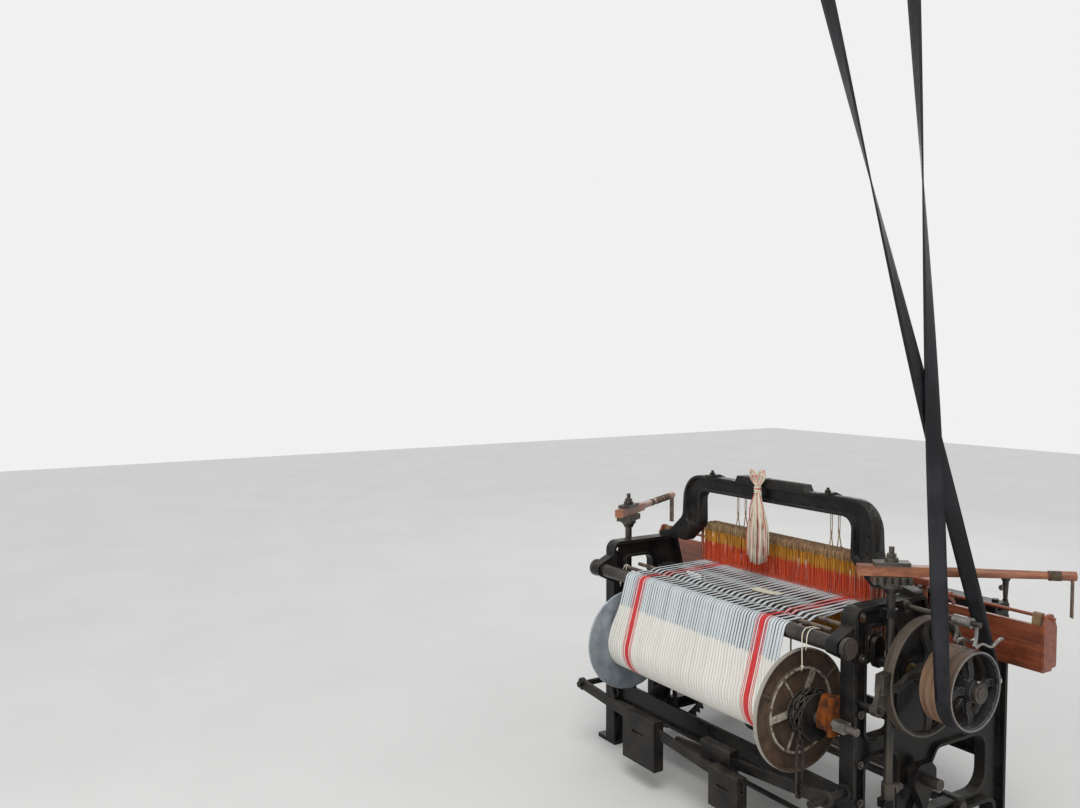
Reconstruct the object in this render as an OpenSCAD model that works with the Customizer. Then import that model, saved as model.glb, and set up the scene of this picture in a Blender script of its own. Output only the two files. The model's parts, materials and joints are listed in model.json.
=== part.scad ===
/* [Frame] */
// Depth of the side frames, front to rear
frame_depth = 850; // [846:2:900]
// Height of the side frames at the rear
frame_height = 926; // [915:1:945]
// Distance from the middle of the loom to the inner face of a side frame
frame_inner = 645; // [640:1:670]
// Width of the cast flanges of a side frame
frame_thick = 61; // [50:1:70]
// Thickness of the web of a side frame
web_thick = 16; // [10:1:24]
// Thickness of the flanges
rim_thick = 13; // [9:1:18]
// Height of the dip that the sley swings over
dip_height = 640; // [610:5:655]
// Radius of the rounded rear corner
corner_r = 42; // [20:1:60]

/* [Arch] */
// Height of the top of the arch above the floor
arch_top = 1231; // [1210:1:1260]
// Half width of the arch over its legs
arch_half = 528; // [515:1:545]
// Depth of the bar of the arch, top to bottom
arch_bar = 68; // [50:1:90]
// Width of a leg of the arch
arch_leg = 104; // [80:1:115]
// Width of the arch front to rear
arch_depth = 50; // [36:1:60]
// Place of the arch, front to rear
arch_y = 96; // [90:1:110]

/* [Shafts] */
// Place of the crankshaft, front to rear
crank_y = 147; // [140:1:155]
// Height of the crankshaft
crank_z = 675; // [660:1:690]
// Throw of the cranks
crank_throw = 60; // [40:1:66]
// Radius of the crankshaft
crank_r = 19; // [15:0.5:22]
// Place of the tappet shaft, front to rear
tappet_y = 100; // [90:1:110]
// Radius of the tappet shaft
tappet_r = 20; // [15:0.5:24]
// Place of the rocking shaft, front to rear
rock_y = -150; // [-160:1:-140]
// Height of the rocking shaft
rock_z = 120; // [105:1:135]
// Module of the two timing wheels
gear_module = 8; // [7:0.5:8]
// Teeth on the crankshaft wheel; the tappet wheel has twice as many
crank_teeth = 32; // [28:1:32]

/* [Drive] */
// Radius of the fast and loose pulleys
pulley_r = 131; // [110:1:150]
// Face width of a pulley
pulley_w = 57; // [50:1:64]
// Outer face of the loose pulley from the middle of the loom
pulley_out = 960; // [955:1:990]
// Radius of the brake wheel
flywheel_r = 204; // [180:1:210]
// Face width of the brake wheel
flywheel_w = 37; // [28:1:40]
// Width of the driving belt
belt_w = 52; // [40:1:56]
// Thickness of the driving belt
belt_t = 5; // [3:0.5:7]

/* [Warp beam] */
// Radius of the beam flanges
flange_r = 216; // [190:1:225]
// Distance from the middle of the loom to the inner face of a flange
flange_x = 487; // [470:1:490]
// Radius of the yarn wound on the beam
roll_r = 119; // [90:1:165]
// Place of the beam, front to rear
beam_y = 452; // [450:1:465]
// Height of the beam
beam_z = 531; // [515:1:545]
// Radius of the chain drums
ruffle_r = 60; // [50:1:66]
// Radius of the back rest
rest_r = 28; // [20:1:34]
// Height of the back rest
rest_z = 805; // [795:1:815]

/* [Weaving] */
// Half width of the healds
heald_half = 474; // [450:1:476]
// Height of the top of the healds
heald_top = 1010; // [990:1:1025]
// Spacing of the heald shafts
heald_pitch = 24; // [22:0.5:26]
// Height of the race board
race_z = 795; // [780:1:800]
// Half length of the sley
sley_half = 1010; // [990:1:1030]
// Half length of the reed
reed_half = 520; // [500:1:540]
// Length of a picking stick in front of its shaft
stick_len = 572; // [520:1:600]
// Distance from the middle of the loom to a picking shaft
pick_x = 730; // [726:1:734]
// Place of the picking shafts, front to rear
pick_y = 281; // [275:1:290]
// Thickness of the modelled cloth and yarn sheets
sheet_t = 1.5; // [1:0.1:2]

/* [Hidden] */
$fn = 64;

run_fit = 0.05;
seat_gap = 0.02;
soft_gap = 0.3;
frame_outer = frame_inner + frame_thick;
frame_rear = frame_depth / 2;
frame_front = -frame_depth / 2;
post_w = 70;
bottom_rail_z = 145;
belly_z = 395;
belly_h = 75;
front_shoulder = 800;
cut_len = 1200;
bolt_x = frame_outer + 32;
bolt_y = frame_rear - 40;
foot_t = 18;
bolt_r = 9;

tappet_teeth = 2 * crank_teeth;
gear_distance = gear_module * (crank_teeth + tappet_teeth) / 2;
tappet_z = crank_z - sqrt(pow(gear_distance, 2) - pow(crank_y - tappet_y, 2));
bush_wall = 9;
gear_x = 594;
gear_w = 30;

rest_y = beam_y + 16;
rest_top = rest_z + rest_r;
eye_z = rest_top + 6;
heald_y = arch_y - arch_depth / 2 - 13;
heald_t = 4;
stave_t = 9;
stave_h = 20;
sheet_half = heald_half - 12;
fell_y = -222;

pin_y = -95;
pin_z = 655;
arm_x = 545;
arm_w = 28;
sword_x = 505;
sword_w = 30;
reed_y = -140;
reed_t = 8;
reed_top = 915;
sley_front = -196;
sley_rear = reed_y + reed_t / 2 + 4;
box_start = 640;
box_depth = 46;

beam_journal_r = 16;
ruffle_x = 546;
ruffle_w = 64;
chain_wire = 3;
chain_r = ruffle_r + 9.6;
chain_drop_y = beam_y + chain_r;
lever_z = 300;
lever_pin_r = 13;
right_lever_y = chain_drop_y;
left_lever_y = chain_drop_y + 52;
lever_t = 14;

// Rounds each corner of a closed path; a point is [x, y, radius]
function unit(v) = v / norm(v);
function fillet(p, i, n) =
    let (a = p[(i + len(p) - 1) % len(p)], b = p[i], c = p[(i + 1) % len(p)],
        ab = [a.x - b.x, a.y - b.y], cb = [c.x - b.x, c.y - b.y], u = unit(ab), v = unit(cb),
        half = acos(max(-1, min(1, u * v))) / 2,
        t = min(b[2] / tan(half), 0.49 * min(norm(ab), norm(cb))), r = t * tan(half),
        centre = [b.x, b.y] + unit(u + v) * (r / sin(half)),
        s = [b.x, b.y] + u * t - centre, e = [b.x, b.y] + v * t - centre,
        a0 = atan2(s.y, s.x), turn = (atan2(e.y, e.x) - a0 + 540) % 360 - 180)
    [for (k = [0:n]) centre + r * [cos(a0 + turn * k / n), sin(a0 + turn * k / n)]];
function rounded(p, n = 6) =
    [for (i = [0:len(p) - 1]) each p[i][2] > 0 ? fillet(p, i, n) : [[p[i].x, p[i].y]]];

// Moves each edge of a counter-clockwise path inwards by d
function left_of(v) = [-v.y, v.x];
function cross2(a, b) = a.x * b.y - a.y * b.x;
function inset(p, d) = [for (i = [0:len(p) - 1])
    let (a = p[(i + len(p) - 1) % len(p)], b = p[i], c = p[(i + 1) % len(p)],
        e1 = unit([b.x - a.x, b.y - a.y]), e2 = unit([c.x - b.x, c.y - b.y]),
        p1 = [b.x, b.y] + left_of(e1) * d, p2 = [b.x, b.y] + left_of(e2) * d,
        k = cross2(e1, e2), s = cross2(p2 - p1, e2) / k, q = p1 + e1 * s)
    [q.x, q.y, max(1, b[2] + (k > 0 ? -d : d))]];
function box_path(x0, y0, x1, y1, r) = [[x0, y0, r], [x1, y0, r], [x1, y1, r], [x0, y1, r]];

// A band of even thickness t laid on the left of an open path
function side_normal(p, i) =
    let (a = p[max(0, i - 1)], b = p[min(len(p) - 1, i + 1)]) left_of(unit(b - a));
function band(p, t) = concat(p, [for (i = [len(p) - 1:-1:0]) p[i] + side_normal(p, i) * t]);
function arc(c, r, a0, a1, n = 10) = [for (k = [0:n])
    let (a = a0 + (a1 - a0) * k / n) c + r * [cos(a), sin(a)]];
// Direction of the common outer tangent of two circles, seen from their centres
function tangent_angle(c1, r1, c2, r2, side) =
    atan2(c2.y - c1.y, c2.x - c1.x) + side * acos((r1 - r2) / norm(c2 - c1));

// Teeth with straight flanks and a little backlash
function gear_path(teeth, m, slack = 0.9) =
    let (r = teeth * m / 2, half = 90 / teeth - slack / r * 28.6)
    [for (k = [0:teeth - 1]) let (a = 360 * k / teeth)
        each [for (q = [[-m * 1.3, -1.45], [0, -1], [m * 0.85, -0.5], [m * 0.85, 0.5], [0, 1], [-m * 1.3, 1.45]])
            (r + q[0]) * [cos(a + half * q[1]), sin(a + half * q[1])]]];

// A profile drawn in (y, z) and carried from x0 to x1
module along_x(x0, x1) rotate([90, 0, 90]) translate([0, 0, x0]) linear_extrude(x1 - x0) children();
// A profile drawn in (x, z) and carried from y0 to y1
module along_y(y0, y1) translate([0, y1, 0]) rotate([90, 0, 0]) linear_extrude(y1 - y0) children();
module rod_x(x0, x1, y, z, r) translate([x0, y, z]) rotate([0, 90, 0]) cylinder(h = x1 - x0, r = r);
module rod_y(y0, y1, x, z, r) translate([x, y0, z]) rotate([-90, 0, 0]) cylinder(h = y1 - y0, r = r);
module both_sides() { children(); mirror([1, 0, 0]) children(); }
module block(lo, hi) translate(lo) cube(hi - lo);
module hex_bolt(r, head_h, shank_h) {
    cylinder(h = head_h, r = r * 1.75, $fn = 6);
    translate([0, 0, -shank_h]) cylinder(h = shank_h + 0.5, r = r);
}

// Side frames
frame_path = [[frame_front + post_w, 0, 0], [frame_front + post_w, bottom_rail_z - 50, 40],
    [frame_rear - post_w, bottom_rail_z - 50, 40], [frame_rear - post_w, 0, 0], [frame_rear, 0, 0],
    [frame_rear, frame_height, corner_r], [60, frame_height, 26], [-12, dip_height, 70],
    [frame_front + 160, dip_height, 70], [frame_front + 95, front_shoulder, 22],
    [frame_front, front_shoulder, 22], [frame_front, 0, 0]];
window_y = frame_rear - post_w - 160;
window_r = 34;
upper_window = box_path(window_y + 5, belly_z + belly_h, frame_rear - post_w, frame_height - 78, window_r);
lower_window = box_path(window_y - 5, bottom_rail_z, frame_rear - post_w, belly_z, window_r);
front_window = [[frame_front + 118, bottom_rail_z, 70], [120, bottom_rail_z, 40],
    [50, belly_z - 160, 40], [-30, belly_z - 35, 30], [frame_front + 118, belly_z - 35, 60]];
dip_window = [[frame_front + 90, belly_z + 45, 40], [-20, belly_z + 45, 30], [-20, dip_height - 62, 30],
    [frame_front + 150, dip_height - 62, 40], [frame_front + 90, 540, 20]];
frame_windows = [upper_window, lower_window, front_window, dip_window];

module frame_rim(path, x0, x1, d) along_x(x0, x1) difference() {
    polygon(rounded(d > 0 ? path : inset(path, d)));
    polygon(rounded(d > 0 ? inset(path, d) : path));
}
module side_frame() {
    mid = frame_inner + frame_thick / 2;
    difference() {
        union() {
            frame_rim(frame_path, frame_inner, frame_outer, rim_thick);
            along_x(mid - web_thick / 2, mid + web_thick / 2) difference() {
                polygon(rounded(frame_path));
                for (w = frame_windows) polygon(rounded(w));
            }
            for (w = frame_windows) frame_rim(w, frame_inner + 8, frame_outer - 8, -rim_thick * 0.8);
            rod_x(frame_inner - 12, frame_outer + 6, crank_y, crank_z, crank_r + bush_wall + 16);
            rod_x(frame_inner - 6, frame_outer + 4, tappet_y, tappet_z, tappet_r + bush_wall + 14);
            rod_x(frame_inner - 8, frame_outer, rock_y, rock_z, 34);
            rod_x(frame_inner, frame_outer, roller_y, roller_z, 30);
            rod_x(frame_inner, frame_outer, roller_y, cloth_z, 26);
            for (y = [-bolt_y, bolt_y]) block([frame_inner - 6, y - 40, 0], [bolt_x + 28, y + 40, foot_t]);
            rod_y(frame_rear - 1, left_lever_y + 24, lever_pin_x, lever_z, lever_pin_r);
            rod_y(frame_rear - 1, frame_rear + 14, lever_pin_x, lever_z, lever_pin_r + 14);
            along_x(frame_inner + 6, frame_outer - 6) polygon(rounded([[frame_rear - 20, rest_z - 60, 0],
                [frame_rear, rest_z - 60, 0], [rest_y + rest_r + 12, rest_z - 18, 20],
                [rest_y + rest_r + 12, rest_z + 22, 26], [rest_y, rest_z + rest_r + 12, 14],
                [frame_rear, rest_z + 60, 0], [frame_rear - 20, rest_z + 60, 0]]));
        }
        rod_x(frame_inner - 20, frame_outer + 20, rest_y, rest_z, rest_r + seat_gap);
        rod_x(frame_inner - 20, frame_outer + 20, crank_y, crank_z, crank_r + bush_wall);
        rod_x(frame_inner - 20, frame_outer + 20, tappet_y, tappet_z, tappet_r + bush_wall);
        rod_x(frame_inner - 20, frame_outer + 20, rock_y, rock_z, rock_r + run_fit);
        rod_x(frame_inner - 20, frame_outer + 20, roller_y, roller_z, roller_journal + run_fit);
        rod_x(frame_inner - 20, frame_outer + 20, roller_y, cloth_z, roller_journal + run_fit);
        for (y = [-bolt_y, bolt_y]) translate([bolt_x, y, -1]) cylinder(h = foot_t + 2, r = bolt_r);
        rod_x(mid - 20, mid + 20, frame_rear - 40, frame_height - 40, 10);
    }
}
lever_pin_x = frame_inner + frame_thick / 2;
rock_r = 18;
roller_y = frame_front + 62;
roller_z = 700;
roller_r = 46;
roller_journal = 13;
cloth_z = 545;
cloth_roll_r = 44;

module left_side_frame() color("#26241f") {
    side_frame();
    rod_x(frame_outer - 30, take_x + 36, stud_y, stud_z, 10);
}
module right_side_frame() color("#26241f") {
    mirror([1, 0, 0]) side_frame();
    rod_x(-flywheel_out - 6, -frame_outer + 20, brake_pin_y, brake_pin_z, 10);
    rod_y(frame_front - 32, frame_front + 20, -lever_pin_x, handle_pivot_z, 8);
}

rail_z = 200;
module cross_rails() color("#211f1b") {
    rail_end = lever_pin_x - web_thick / 2;
    for (r = [[frame_rear - 36, rail_z, 90], [frame_front + 36, rail_z + 30, 70]])
        along_x(-rail_end, rail_end) polygon([[r[0] - 22, r[1]], [r[0] + 22, r[1]], [r[0] + 22, r[1] + 12],
            [r[0] + 7, r[1] + 12], [r[0] + 7, r[1] + r[2]], [r[0] - 7, r[1] + r[2]], [r[0] - 7, r[1] + 12],
            [r[0] - 22, r[1] + 12]]);
    rod_x(-rail_end, rail_end, treadle_pivot_y, treadle_z, 10);
}

// Arch that carries the heald roller
arch_outer = [[frame_outer - 6, frame_height, 0], [frame_outer - 6, frame_height + 16, 8],
    [arch_half + 96, frame_height + 34, 20], [arch_half + 8, frame_height + 110, 46],
    [arch_half, arch_top - 60, 0], [arch_half, arch_top, 78], [-arch_half, arch_top, 78],
    [-arch_half, arch_top - 60, 0], [-arch_half - 8, frame_height + 110, 46],
    [-arch_half - 96, frame_height + 34, 20], [-frame_outer + 6, frame_height + 16, 8],
    [-frame_outer + 6, frame_height, 0]];
arch_in = arch_half - arch_leg;
arch_inner = [[-arch_in - 92, frame_height, 0], [-arch_in + 4, frame_height + 84, 50],
    [-arch_in, arch_top - arch_bar, 42], [arch_in, arch_top - arch_bar, 42],
    [arch_in - 4, frame_height + 84, 50], [arch_in + 92, frame_height, 0]];
arch_path = concat(arch_outer, arch_inner);
arch_rib = 12;
leg_low = frame_height + 84;
arch_pocket = [[arch_half - arch_rib, leg_low, 24], [arch_half - arch_rib, arch_top - arch_rib, 66],
    [arch_rib - arch_half, arch_top - arch_rib, 66], [arch_rib - arch_half, leg_low, 24],
    [-arch_in - arch_rib, leg_low, 24], [-arch_in - arch_rib, arch_top - arch_bar + arch_rib, 50],
    [arch_in + arch_rib, arch_top - arch_bar + arch_rib, 50], [arch_in + arch_rib, leg_low, 24]];
pad_half = 182;
pad_h = 25;

module arch_rail() color("#1d1c1a") difference() {
    union() {
        along_y(arch_y - 11, arch_y + 11) polygon(rounded(arch_path));
        along_y(arch_y - arch_depth / 2, arch_y + arch_depth / 2) difference() {
            polygon(rounded(arch_path));
            polygon(rounded(arch_pocket));
        }
        along_y(arch_y - arch_depth / 2, arch_y + arch_depth / 2)
            polygon([[-pad_half - 14, arch_top - 1], [-pad_half, arch_top + pad_h], [pad_half, arch_top + pad_h],
                [pad_half + 14, arch_top - 1]]);
    }
    for (s = [-1, 1], q = [[-34, 175], [-42, 110], [20, 60]])
        rod_y(arch_y - 60, arch_y + 60, s * (arch_half + q[0]), frame_height + q[1], 6);
}

bracket_xs = [355, -296];
heald_roller_y = heald_y - heald_pitch * 1.5;
heald_roller_z = arch_top - 40;
heald_roller_r = 20;
module roller_brackets() color("#2b2926") for (x = bracket_xs) {
    along_x(x - 9, x + 9) difference() {
        polygon(rounded([[arch_y - arch_depth / 2, heald_roller_z - 14, 4],
            [arch_y - arch_depth / 2, arch_top + 1, 0], [arch_y - arch_depth / 2, arch_top + 10, 6],
            [heald_roller_y - 16, heald_roller_z + 22, 10], [heald_roller_y - 16, heald_roller_z - 16, 12]]));
        translate([heald_roller_y, heald_roller_z]) circle(r = 8 + run_fit);
    }
    block([x - 18, arch_y - arch_depth / 2 + 12, arch_top], [x + 18, arch_y + arch_depth / 2 + 8, arch_top + 8]);
    block([x - 9, arch_y - arch_depth / 2 - 2, arch_top], [x + 9, arch_y - arch_depth / 2 + 14, arch_top + 8]);
    translate([x, arch_y + 8, arch_top + 8]) hex_bolt(7, 10, 0);
    translate([x, arch_y + 8, arch_top + 18]) cylinder(h = 10, r = 6);
}
module heald_roller() color("#4a3a2c") {
    rod_x(min(bracket_xs) - 14, max(bracket_xs) + 14, heald_roller_y, heald_roller_z, 8);
    rod_x(min(bracket_xs) + 12, max(bracket_xs) - 12, heald_roller_y, heald_roller_z, heald_roller_r);
}

// Healds: a top and a bottom stave with the knitted cords between
strap_xs = [256, -262];
heald_bottom = eye_z - (heald_top - eye_z) + 8;
module heald(y) {
    along_y(y - heald_t / 2, y + heald_t / 2)
        polygon(rounded(box_path(-heald_half + 8, heald_bottom + 4, heald_half - 8, heald_top - 4, 0)));
    for (z = [heald_bottom, heald_top - stave_h])
        block([-heald_half, y - stave_t / 2, z], [heald_half, y + stave_t / 2, z + stave_h]);
    for (s = [-1, 1]) block([s * (heald_half - 5) - 5, y - stave_t / 2, heald_bottom],
        [s * (heald_half - 5) + 5, y + stave_t / 2, heald_top]);
}
module heald_pair(y, side) {
    strap_y = heald_roller_y + side * (heald_roller_r + soft_gap + 1.5);
    tie_x = -side * (treadle_x + tie_out);
    tie_z = treadle_z + tie_pin_r + 0.9;
    for (k = [0, 1]) heald(y - k * heald_pitch);
    for (x = strap_xs) {
        block([x - 12, y - heald_pitch, heald_top], [x + 12, y, heald_top + 10]);
        block([x - 11, strap_y - 1.5, heald_top + 9], [x + 11, strap_y + 1.5, heald_roller_z]);
    }
    block([tie_x - 9, y - heald_pitch, heald_bottom - 12], [tie_x + 9, y, heald_bottom]);
    translate([tie_x, y - heald_pitch / 2, tie_z]) cylinder(h = heald_bottom - 12 - tie_z, r = 5);
}
module back_healds() color("#d0761f") heald_pair(heald_y, 1);
module front_healds() color("#d0761f") heald_pair(heald_y - 2 * heald_pitch, -1);

// Treadles, hinged at the rear and pressed by the tappets
treadle_x = 40;
treadle_z = 130;
treadle_h = 34;
treadle_pivot_y = frame_rear - 36;
treadle_front = heald_y - 4.5 * heald_pitch;
bowl_r = 22;
tie_out = 20;
tie_pin_r = 6;
module treadle(side, tie_y) difference() {
    x = side * treadle_x;
    union() {
        rod_x(min(x, x + side * (tie_out + 8)), max(x, x + side * (tie_out + 8)), tie_y, treadle_z, tie_pin_r);
        block([x - 8, treadle_front, treadle_z - treadle_h / 2],
            [x + 8, treadle_pivot_y - 10, treadle_z + treadle_h / 2]);
        rod_x(x - 12, x + 12, treadle_pivot_y, treadle_z, 24);
        rod_x(x - 14, x + 14, tappet_y, treadle_z + 8, bowl_r);
    }
    rod_x(x - 20, x + 20, treadle_pivot_y, treadle_z, 10 + run_fit);
}
module back_treadle() color("#2f2b27") treadle(-1, heald_y - heald_pitch / 2);
module front_treadle() color("#2f2b27") treadle(1, heald_y - heald_pitch * 2.5);

// Crankshaft with a crank near each side frame, drawn with the cranks up
module crankshaft() color("#55504a") {
    ends = [-pulley_out - 22, -arm_x, arm_x, frame_outer + 30];
    web_x = arm_w / 2 + 3;
    rod_x(ends[0], -arm_x - web_x, crank_y, crank_z, crank_r);
    rod_x(-arm_x + web_x, arm_x - web_x, crank_y, crank_z, crank_r);
    rod_x(arm_x + web_x, ends[3], crank_y, crank_z, crank_r);
    for (x = [-arm_x, arm_x]) {
        rod_x(x - web_x, x + web_x, crank_y, crank_z + crank_throw, crank_r);
        for (s = [-1, 1]) along_x(x + s * (web_x + 9) - 9, x + s * (web_x + 9) + 9)
            polygon(rounded(box_path(crank_y - 27, crank_z - 27, crank_y + 27, crank_z + crank_throw + 27, 26)));
    }
    rod_x(-pulley_out - 19, -pulley_out - 1, crank_y, crank_z, crank_r + 14);
    rod_x(frame_outer + 8, frame_outer + 26, crank_y, crank_z, crank_r + 14);
}
module crank_bushes() color("#8a6a34") both_sides() difference() {
    rod_x(frame_inner - 14, frame_outer + 8 - soft_gap, crank_y, crank_z, crank_r + bush_wall - seat_gap);
    rod_x(frame_inner - 20, frame_outer + 20, crank_y, crank_z, crank_r + run_fit);
}
module tappet_bushes() color("#8a6a34") both_sides() difference() {
    rod_x(frame_inner - 8, frame_outer + 6, tappet_y, tappet_z, tappet_r + bush_wall - seat_gap);
    rod_x(frame_inner - 20, frame_outer + 20, tappet_y, tappet_z, tappet_r + run_fit);
}
module wheel_teeth(teeth, y, z, phase)
    translate([0, y, z]) rotate([phase, 0, 0]) along_x(gear_x, gear_x + gear_w) difference() {
        polygon(gear_path(teeth, gear_module));
        circle(r = teeth * gear_module / 2 - gear_module * 2.4);
    }
mesh_angle = atan2(tappet_z - crank_z, tappet_y - crank_y);
module spur_wheel(teeth, y, z, phase, shaft, arms) {
    rim = teeth * gear_module / 2 - gear_module * 2.4;
    wheel_teeth(teeth, y, z, phase);
    difference() {
        union() {
            rod_x(gear_x - 6, gear_x + gear_w + 6, y, z, shaft + 18);
            for (k = [0:arms - 1]) translate([0, y, z]) rotate([360 * k / arms, 0, 0])
                block([gear_x + 8, -9, shaft + 8], [gear_x + gear_w - 8, 9, rim + 2]);
        }
        rod_x(gear_x - 10, gear_x + gear_w + 10, y, z, shaft + seat_gap);
    }
}
module crank_wheel() color("#33302c")
    spur_wheel(crank_teeth, crank_y, crank_z, mesh_angle, crank_r, 5);
module tappet_wheel() color("#33302c")
    spur_wheel(tappet_teeth, tappet_y, tappet_z, mesh_angle + 180 + 180 / tappet_teeth, tappet_r, 6);

// Brake wheel and the two pulleys at the driving end
flywheel_out = 791;
fast_out = pulley_out - pulley_w - 3;
hub_r = crank_r + 16;
module curved_arm(r0, r1, w, bow, x0, x1) {
    mid = (r0 + r1) / 2;
    path = [for (k = [0:10]) let (t = k / 10) [r0 + (r1 - r0) * t, bow * sin(t * 360)]];
    along_x(x0, x1) polygon(concat([for (p = path) p + [0, -w / 2]],
        [for (k = [10:-1:0]) path[k] + [0, w / 2]]));
}
module pulley_body(x_out, w, r, wall, arms, bow, arm_w2) translate([0, crank_y, crank_z]) {
    rotate([0, -90, 0]) translate([0, 0, x_out - w]) rotate_extrude() polygon([[r - wall, 0], [r - 1, 0],
        [r, w * 0.25], [r, w * 0.75], [r - 1, w], [r - wall, w], [r - wall - 4, w - 5], [r - wall, w - 10],
        [r - wall - 3, w / 2 + 6], [r - wall - 3, w / 2 - 6], [r - wall, 10], [r - wall - 4, 5]]);
    for (k = [0:arms - 1]) rotate([360 * k / arms, 0, 0])
        curved_arm(hub_r - 4, r - wall + 2, arm_w2, bow, -x_out + w / 2 - 7, -x_out + w / 2 + 7);
}
module brake_wheel() color("#8b8272") difference() {
    union() {
        pulley_body(flywheel_out, flywheel_w, flywheel_r, 9, 4, 14, 26);
        rod_x(-flywheel_out - 6, -flywheel_out + flywheel_w + 6, crank_y, crank_z, hub_r + 4);
    }
    rod_x(-flywheel_out - 10, -flywheel_out + flywheel_w + 10, crank_y, crank_z, crank_r + seat_gap);
}
module fast_pulley() color("#6b5242") difference() {
    union() {
        pulley_body(fast_out, pulley_w, pulley_r, 7, 4, 6, 24);
        rod_x(-fast_out, -flywheel_out - 8, crank_y, crank_z, hub_r);
    }
    rod_x(-fast_out - 10, -flywheel_out + 10, crank_y, crank_z, crank_r + seat_gap);
}
module loose_pulley() color("#3c3a39") difference() {
    union() {
        pulley_body(pulley_out, pulley_w, pulley_r, 7, 4, 6, 24);
        rod_x(-pulley_out, -fast_out - 1.5, crank_y, crank_z, hub_r);
    }
    rod_x(-pulley_out - 10, -fast_out + 10, crank_y, crank_z, crank_r + run_fit);
}

// Crossed driving belt: each run turns over once on its way up to the loop
belt_x = -(pulley_out - pulley_w / 2);
belt_r = pulley_r + soft_gap;
belt_top = [700, 2950];
belt_loop_r = 205;
belt_rings = 48;
belt_pass = 8;
pulley_c = [crank_y, crank_z];
belt_rear = tangent_angle(pulley_c, belt_r, belt_top, -belt_loop_r, -1);
belt_front = tangent_angle(pulley_c, belt_r, belt_top, -belt_loop_r, 1);
function belt_section(p, n, turn) = let (side = [cos(turn), n.x * sin(turn), n.y * sin(turn)],
        flat = [-sin(turn), n.x * cos(turn), n.y * cos(turn)])
    [for (q = [[-1, -1], [1, -1], [1, 1], [-1, 1]]) p + side * q[0] * belt_w / 2 + flat * q[1] * belt_t / 2];
function belt_bend(c, r, a0, a1, turn) = [for (k = [1:belt_rings - 1])
    let (a = a0 + (a1 - a0) * k / belt_rings, n = [cos(a), sin(a)], p = c + n * r)
    belt_section([belt_x, p.x, p.y], turn == 0 ? n : -n, turn)];
function belt_run(angle, way) = let (n = [cos(angle), sin(angle)], a = pulley_c + n * (belt_r + belt_t / 2),
        b = belt_top - n * (belt_loop_r + belt_t / 2))
    [for (k = [0:belt_rings]) let (t = k / belt_rings, p = a + (b - a) * t, turn = 180 * t)
        belt_section([belt_x - way * belt_pass * sin(turn), p.x, p.y], n, way * turn)];
module drive_belt() color("#26272b") {
    rear = belt_run(belt_rear, 1);
    front = belt_run(belt_front, -1);
    rings = concat(belt_bend(pulley_c, belt_r + belt_t / 2, belt_front - 360, belt_rear, 0), rear,
        belt_bend(belt_top, belt_loop_r + belt_t / 2, belt_rear + 180, belt_front - 180, 180),
        [for (k = [belt_rings:-1:0]) front[k]]);
    n = len(rings);
    polyhedron(points = [for (r = rings) each r], faces = [for (k = [0:n - 1], j = [0:3])
        let (i = 4 * k + j, i2 = 4 * k + (j + 1) % 4, up = (k + 1) % n * 4) each
            [[i, up + (j + 1) % 4, i2], [i, up + j, up + (j + 1) % 4]]]);
}

// Beam bearings, bolted inside the rear posts
bearing_w = 39;
module beam_bearings() color("#b4571d") both_sides() difference() {
    union() {
        along_x(frame_inner - 14 - bearing_w, frame_inner - 14) polygon(rounded([[frame_rear - 8, beam_z - 36, 6],
            [beam_y + 26, beam_z - 30, 14], [beam_y + 26, beam_z + 24, 14], [beam_y + 2, beam_z + 84, 10],
            [frame_rear - 8, beam_z + 84, 6]]));
        block([frame_inner - 15, frame_rear - 62, beam_z - 46],
            [frame_inner - seat_gap, frame_rear + 44, beam_z + 84]);
        for (z = [beam_z - 30, beam_z + 60])
            rod_x(frame_inner - 26, frame_inner - 14, frame_rear - 34, z, 11);
    }
    rod_x(frame_inner - 80, frame_inner + 10, beam_y, beam_z, beam_journal_r + run_fit);
}

// Warp beam
hub_bore = 24;
module beam_shaft() color("#9b9a94") {
    rod_x(-flange_x, flange_x, beam_y, beam_z, 56);
    rod_x(-ruffle_x - ruffle_w / 2 - 2, ruffle_x + ruffle_w / 2 + 2, beam_y, beam_z, hub_bore);
    rod_x(-frame_inner - 12, frame_inner + 12, beam_y, beam_z, beam_journal_r);
    block([-frame_outer + 4, beam_y - 17, beam_z - 17], [-frame_inner - 8, beam_y + 17, beam_z + 17]);
    rod_x(-frame_outer - 36, -frame_outer + 6, beam_y, beam_z, 13);
}
flange_ring = 148;
spoke_w = 25;
module flange_ribs(r0, r1, w, h, angles) for (a = angles) rotate([a, 0, 0])
    block([-h, -w / 2, r0], [0, w / 2, r1]);
module near_flange() color("#3b2f28") translate([-flange_x, beam_y, beam_z]) difference() {
    union() {
        rotate([0, -90, 0]) rotate_extrude() polygon([[0, 0], [flange_r, 0], [flange_r, 15], [flange_r - 3, 16],
            [flange_r - 7, 14], [flange_r - 9, 6], [flange_ring + 6, 6], [flange_ring + 4, 15],
            [flange_ring - 4, 15], [flange_ring - 6, 5], [58, 5], [50, 22], [0, 22]]);
        flange_ribs(46, flange_ring - 2, spoke_w, 12, [25, 145, 265]);
        flange_ribs(46, flange_ring - 2, 7, 12, [85, 205, 325]);
        flange_ribs(flange_ring + 2, flange_r - 5, 7, 13, [55, 175, 295]);
    }
    rod_x(-40, 10, 0, 0, hub_bore + seat_gap);
}
module far_flange() color("#7d878c") translate([flange_x, beam_y, beam_z]) difference() {
    union() {
        rotate([0, 90, 0]) rotate_extrude() polygon([[0, 0], [flange_r - 2, 0], [flange_r, 2], [flange_r, 6],
            [flange_r - 4, 9], [flange_r - 8, 5], [60, 5], [50, 22], [0, 22]]);
    }
    rod_x(-10, 40, 0, 0, hub_bore + seat_gap);
}
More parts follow.
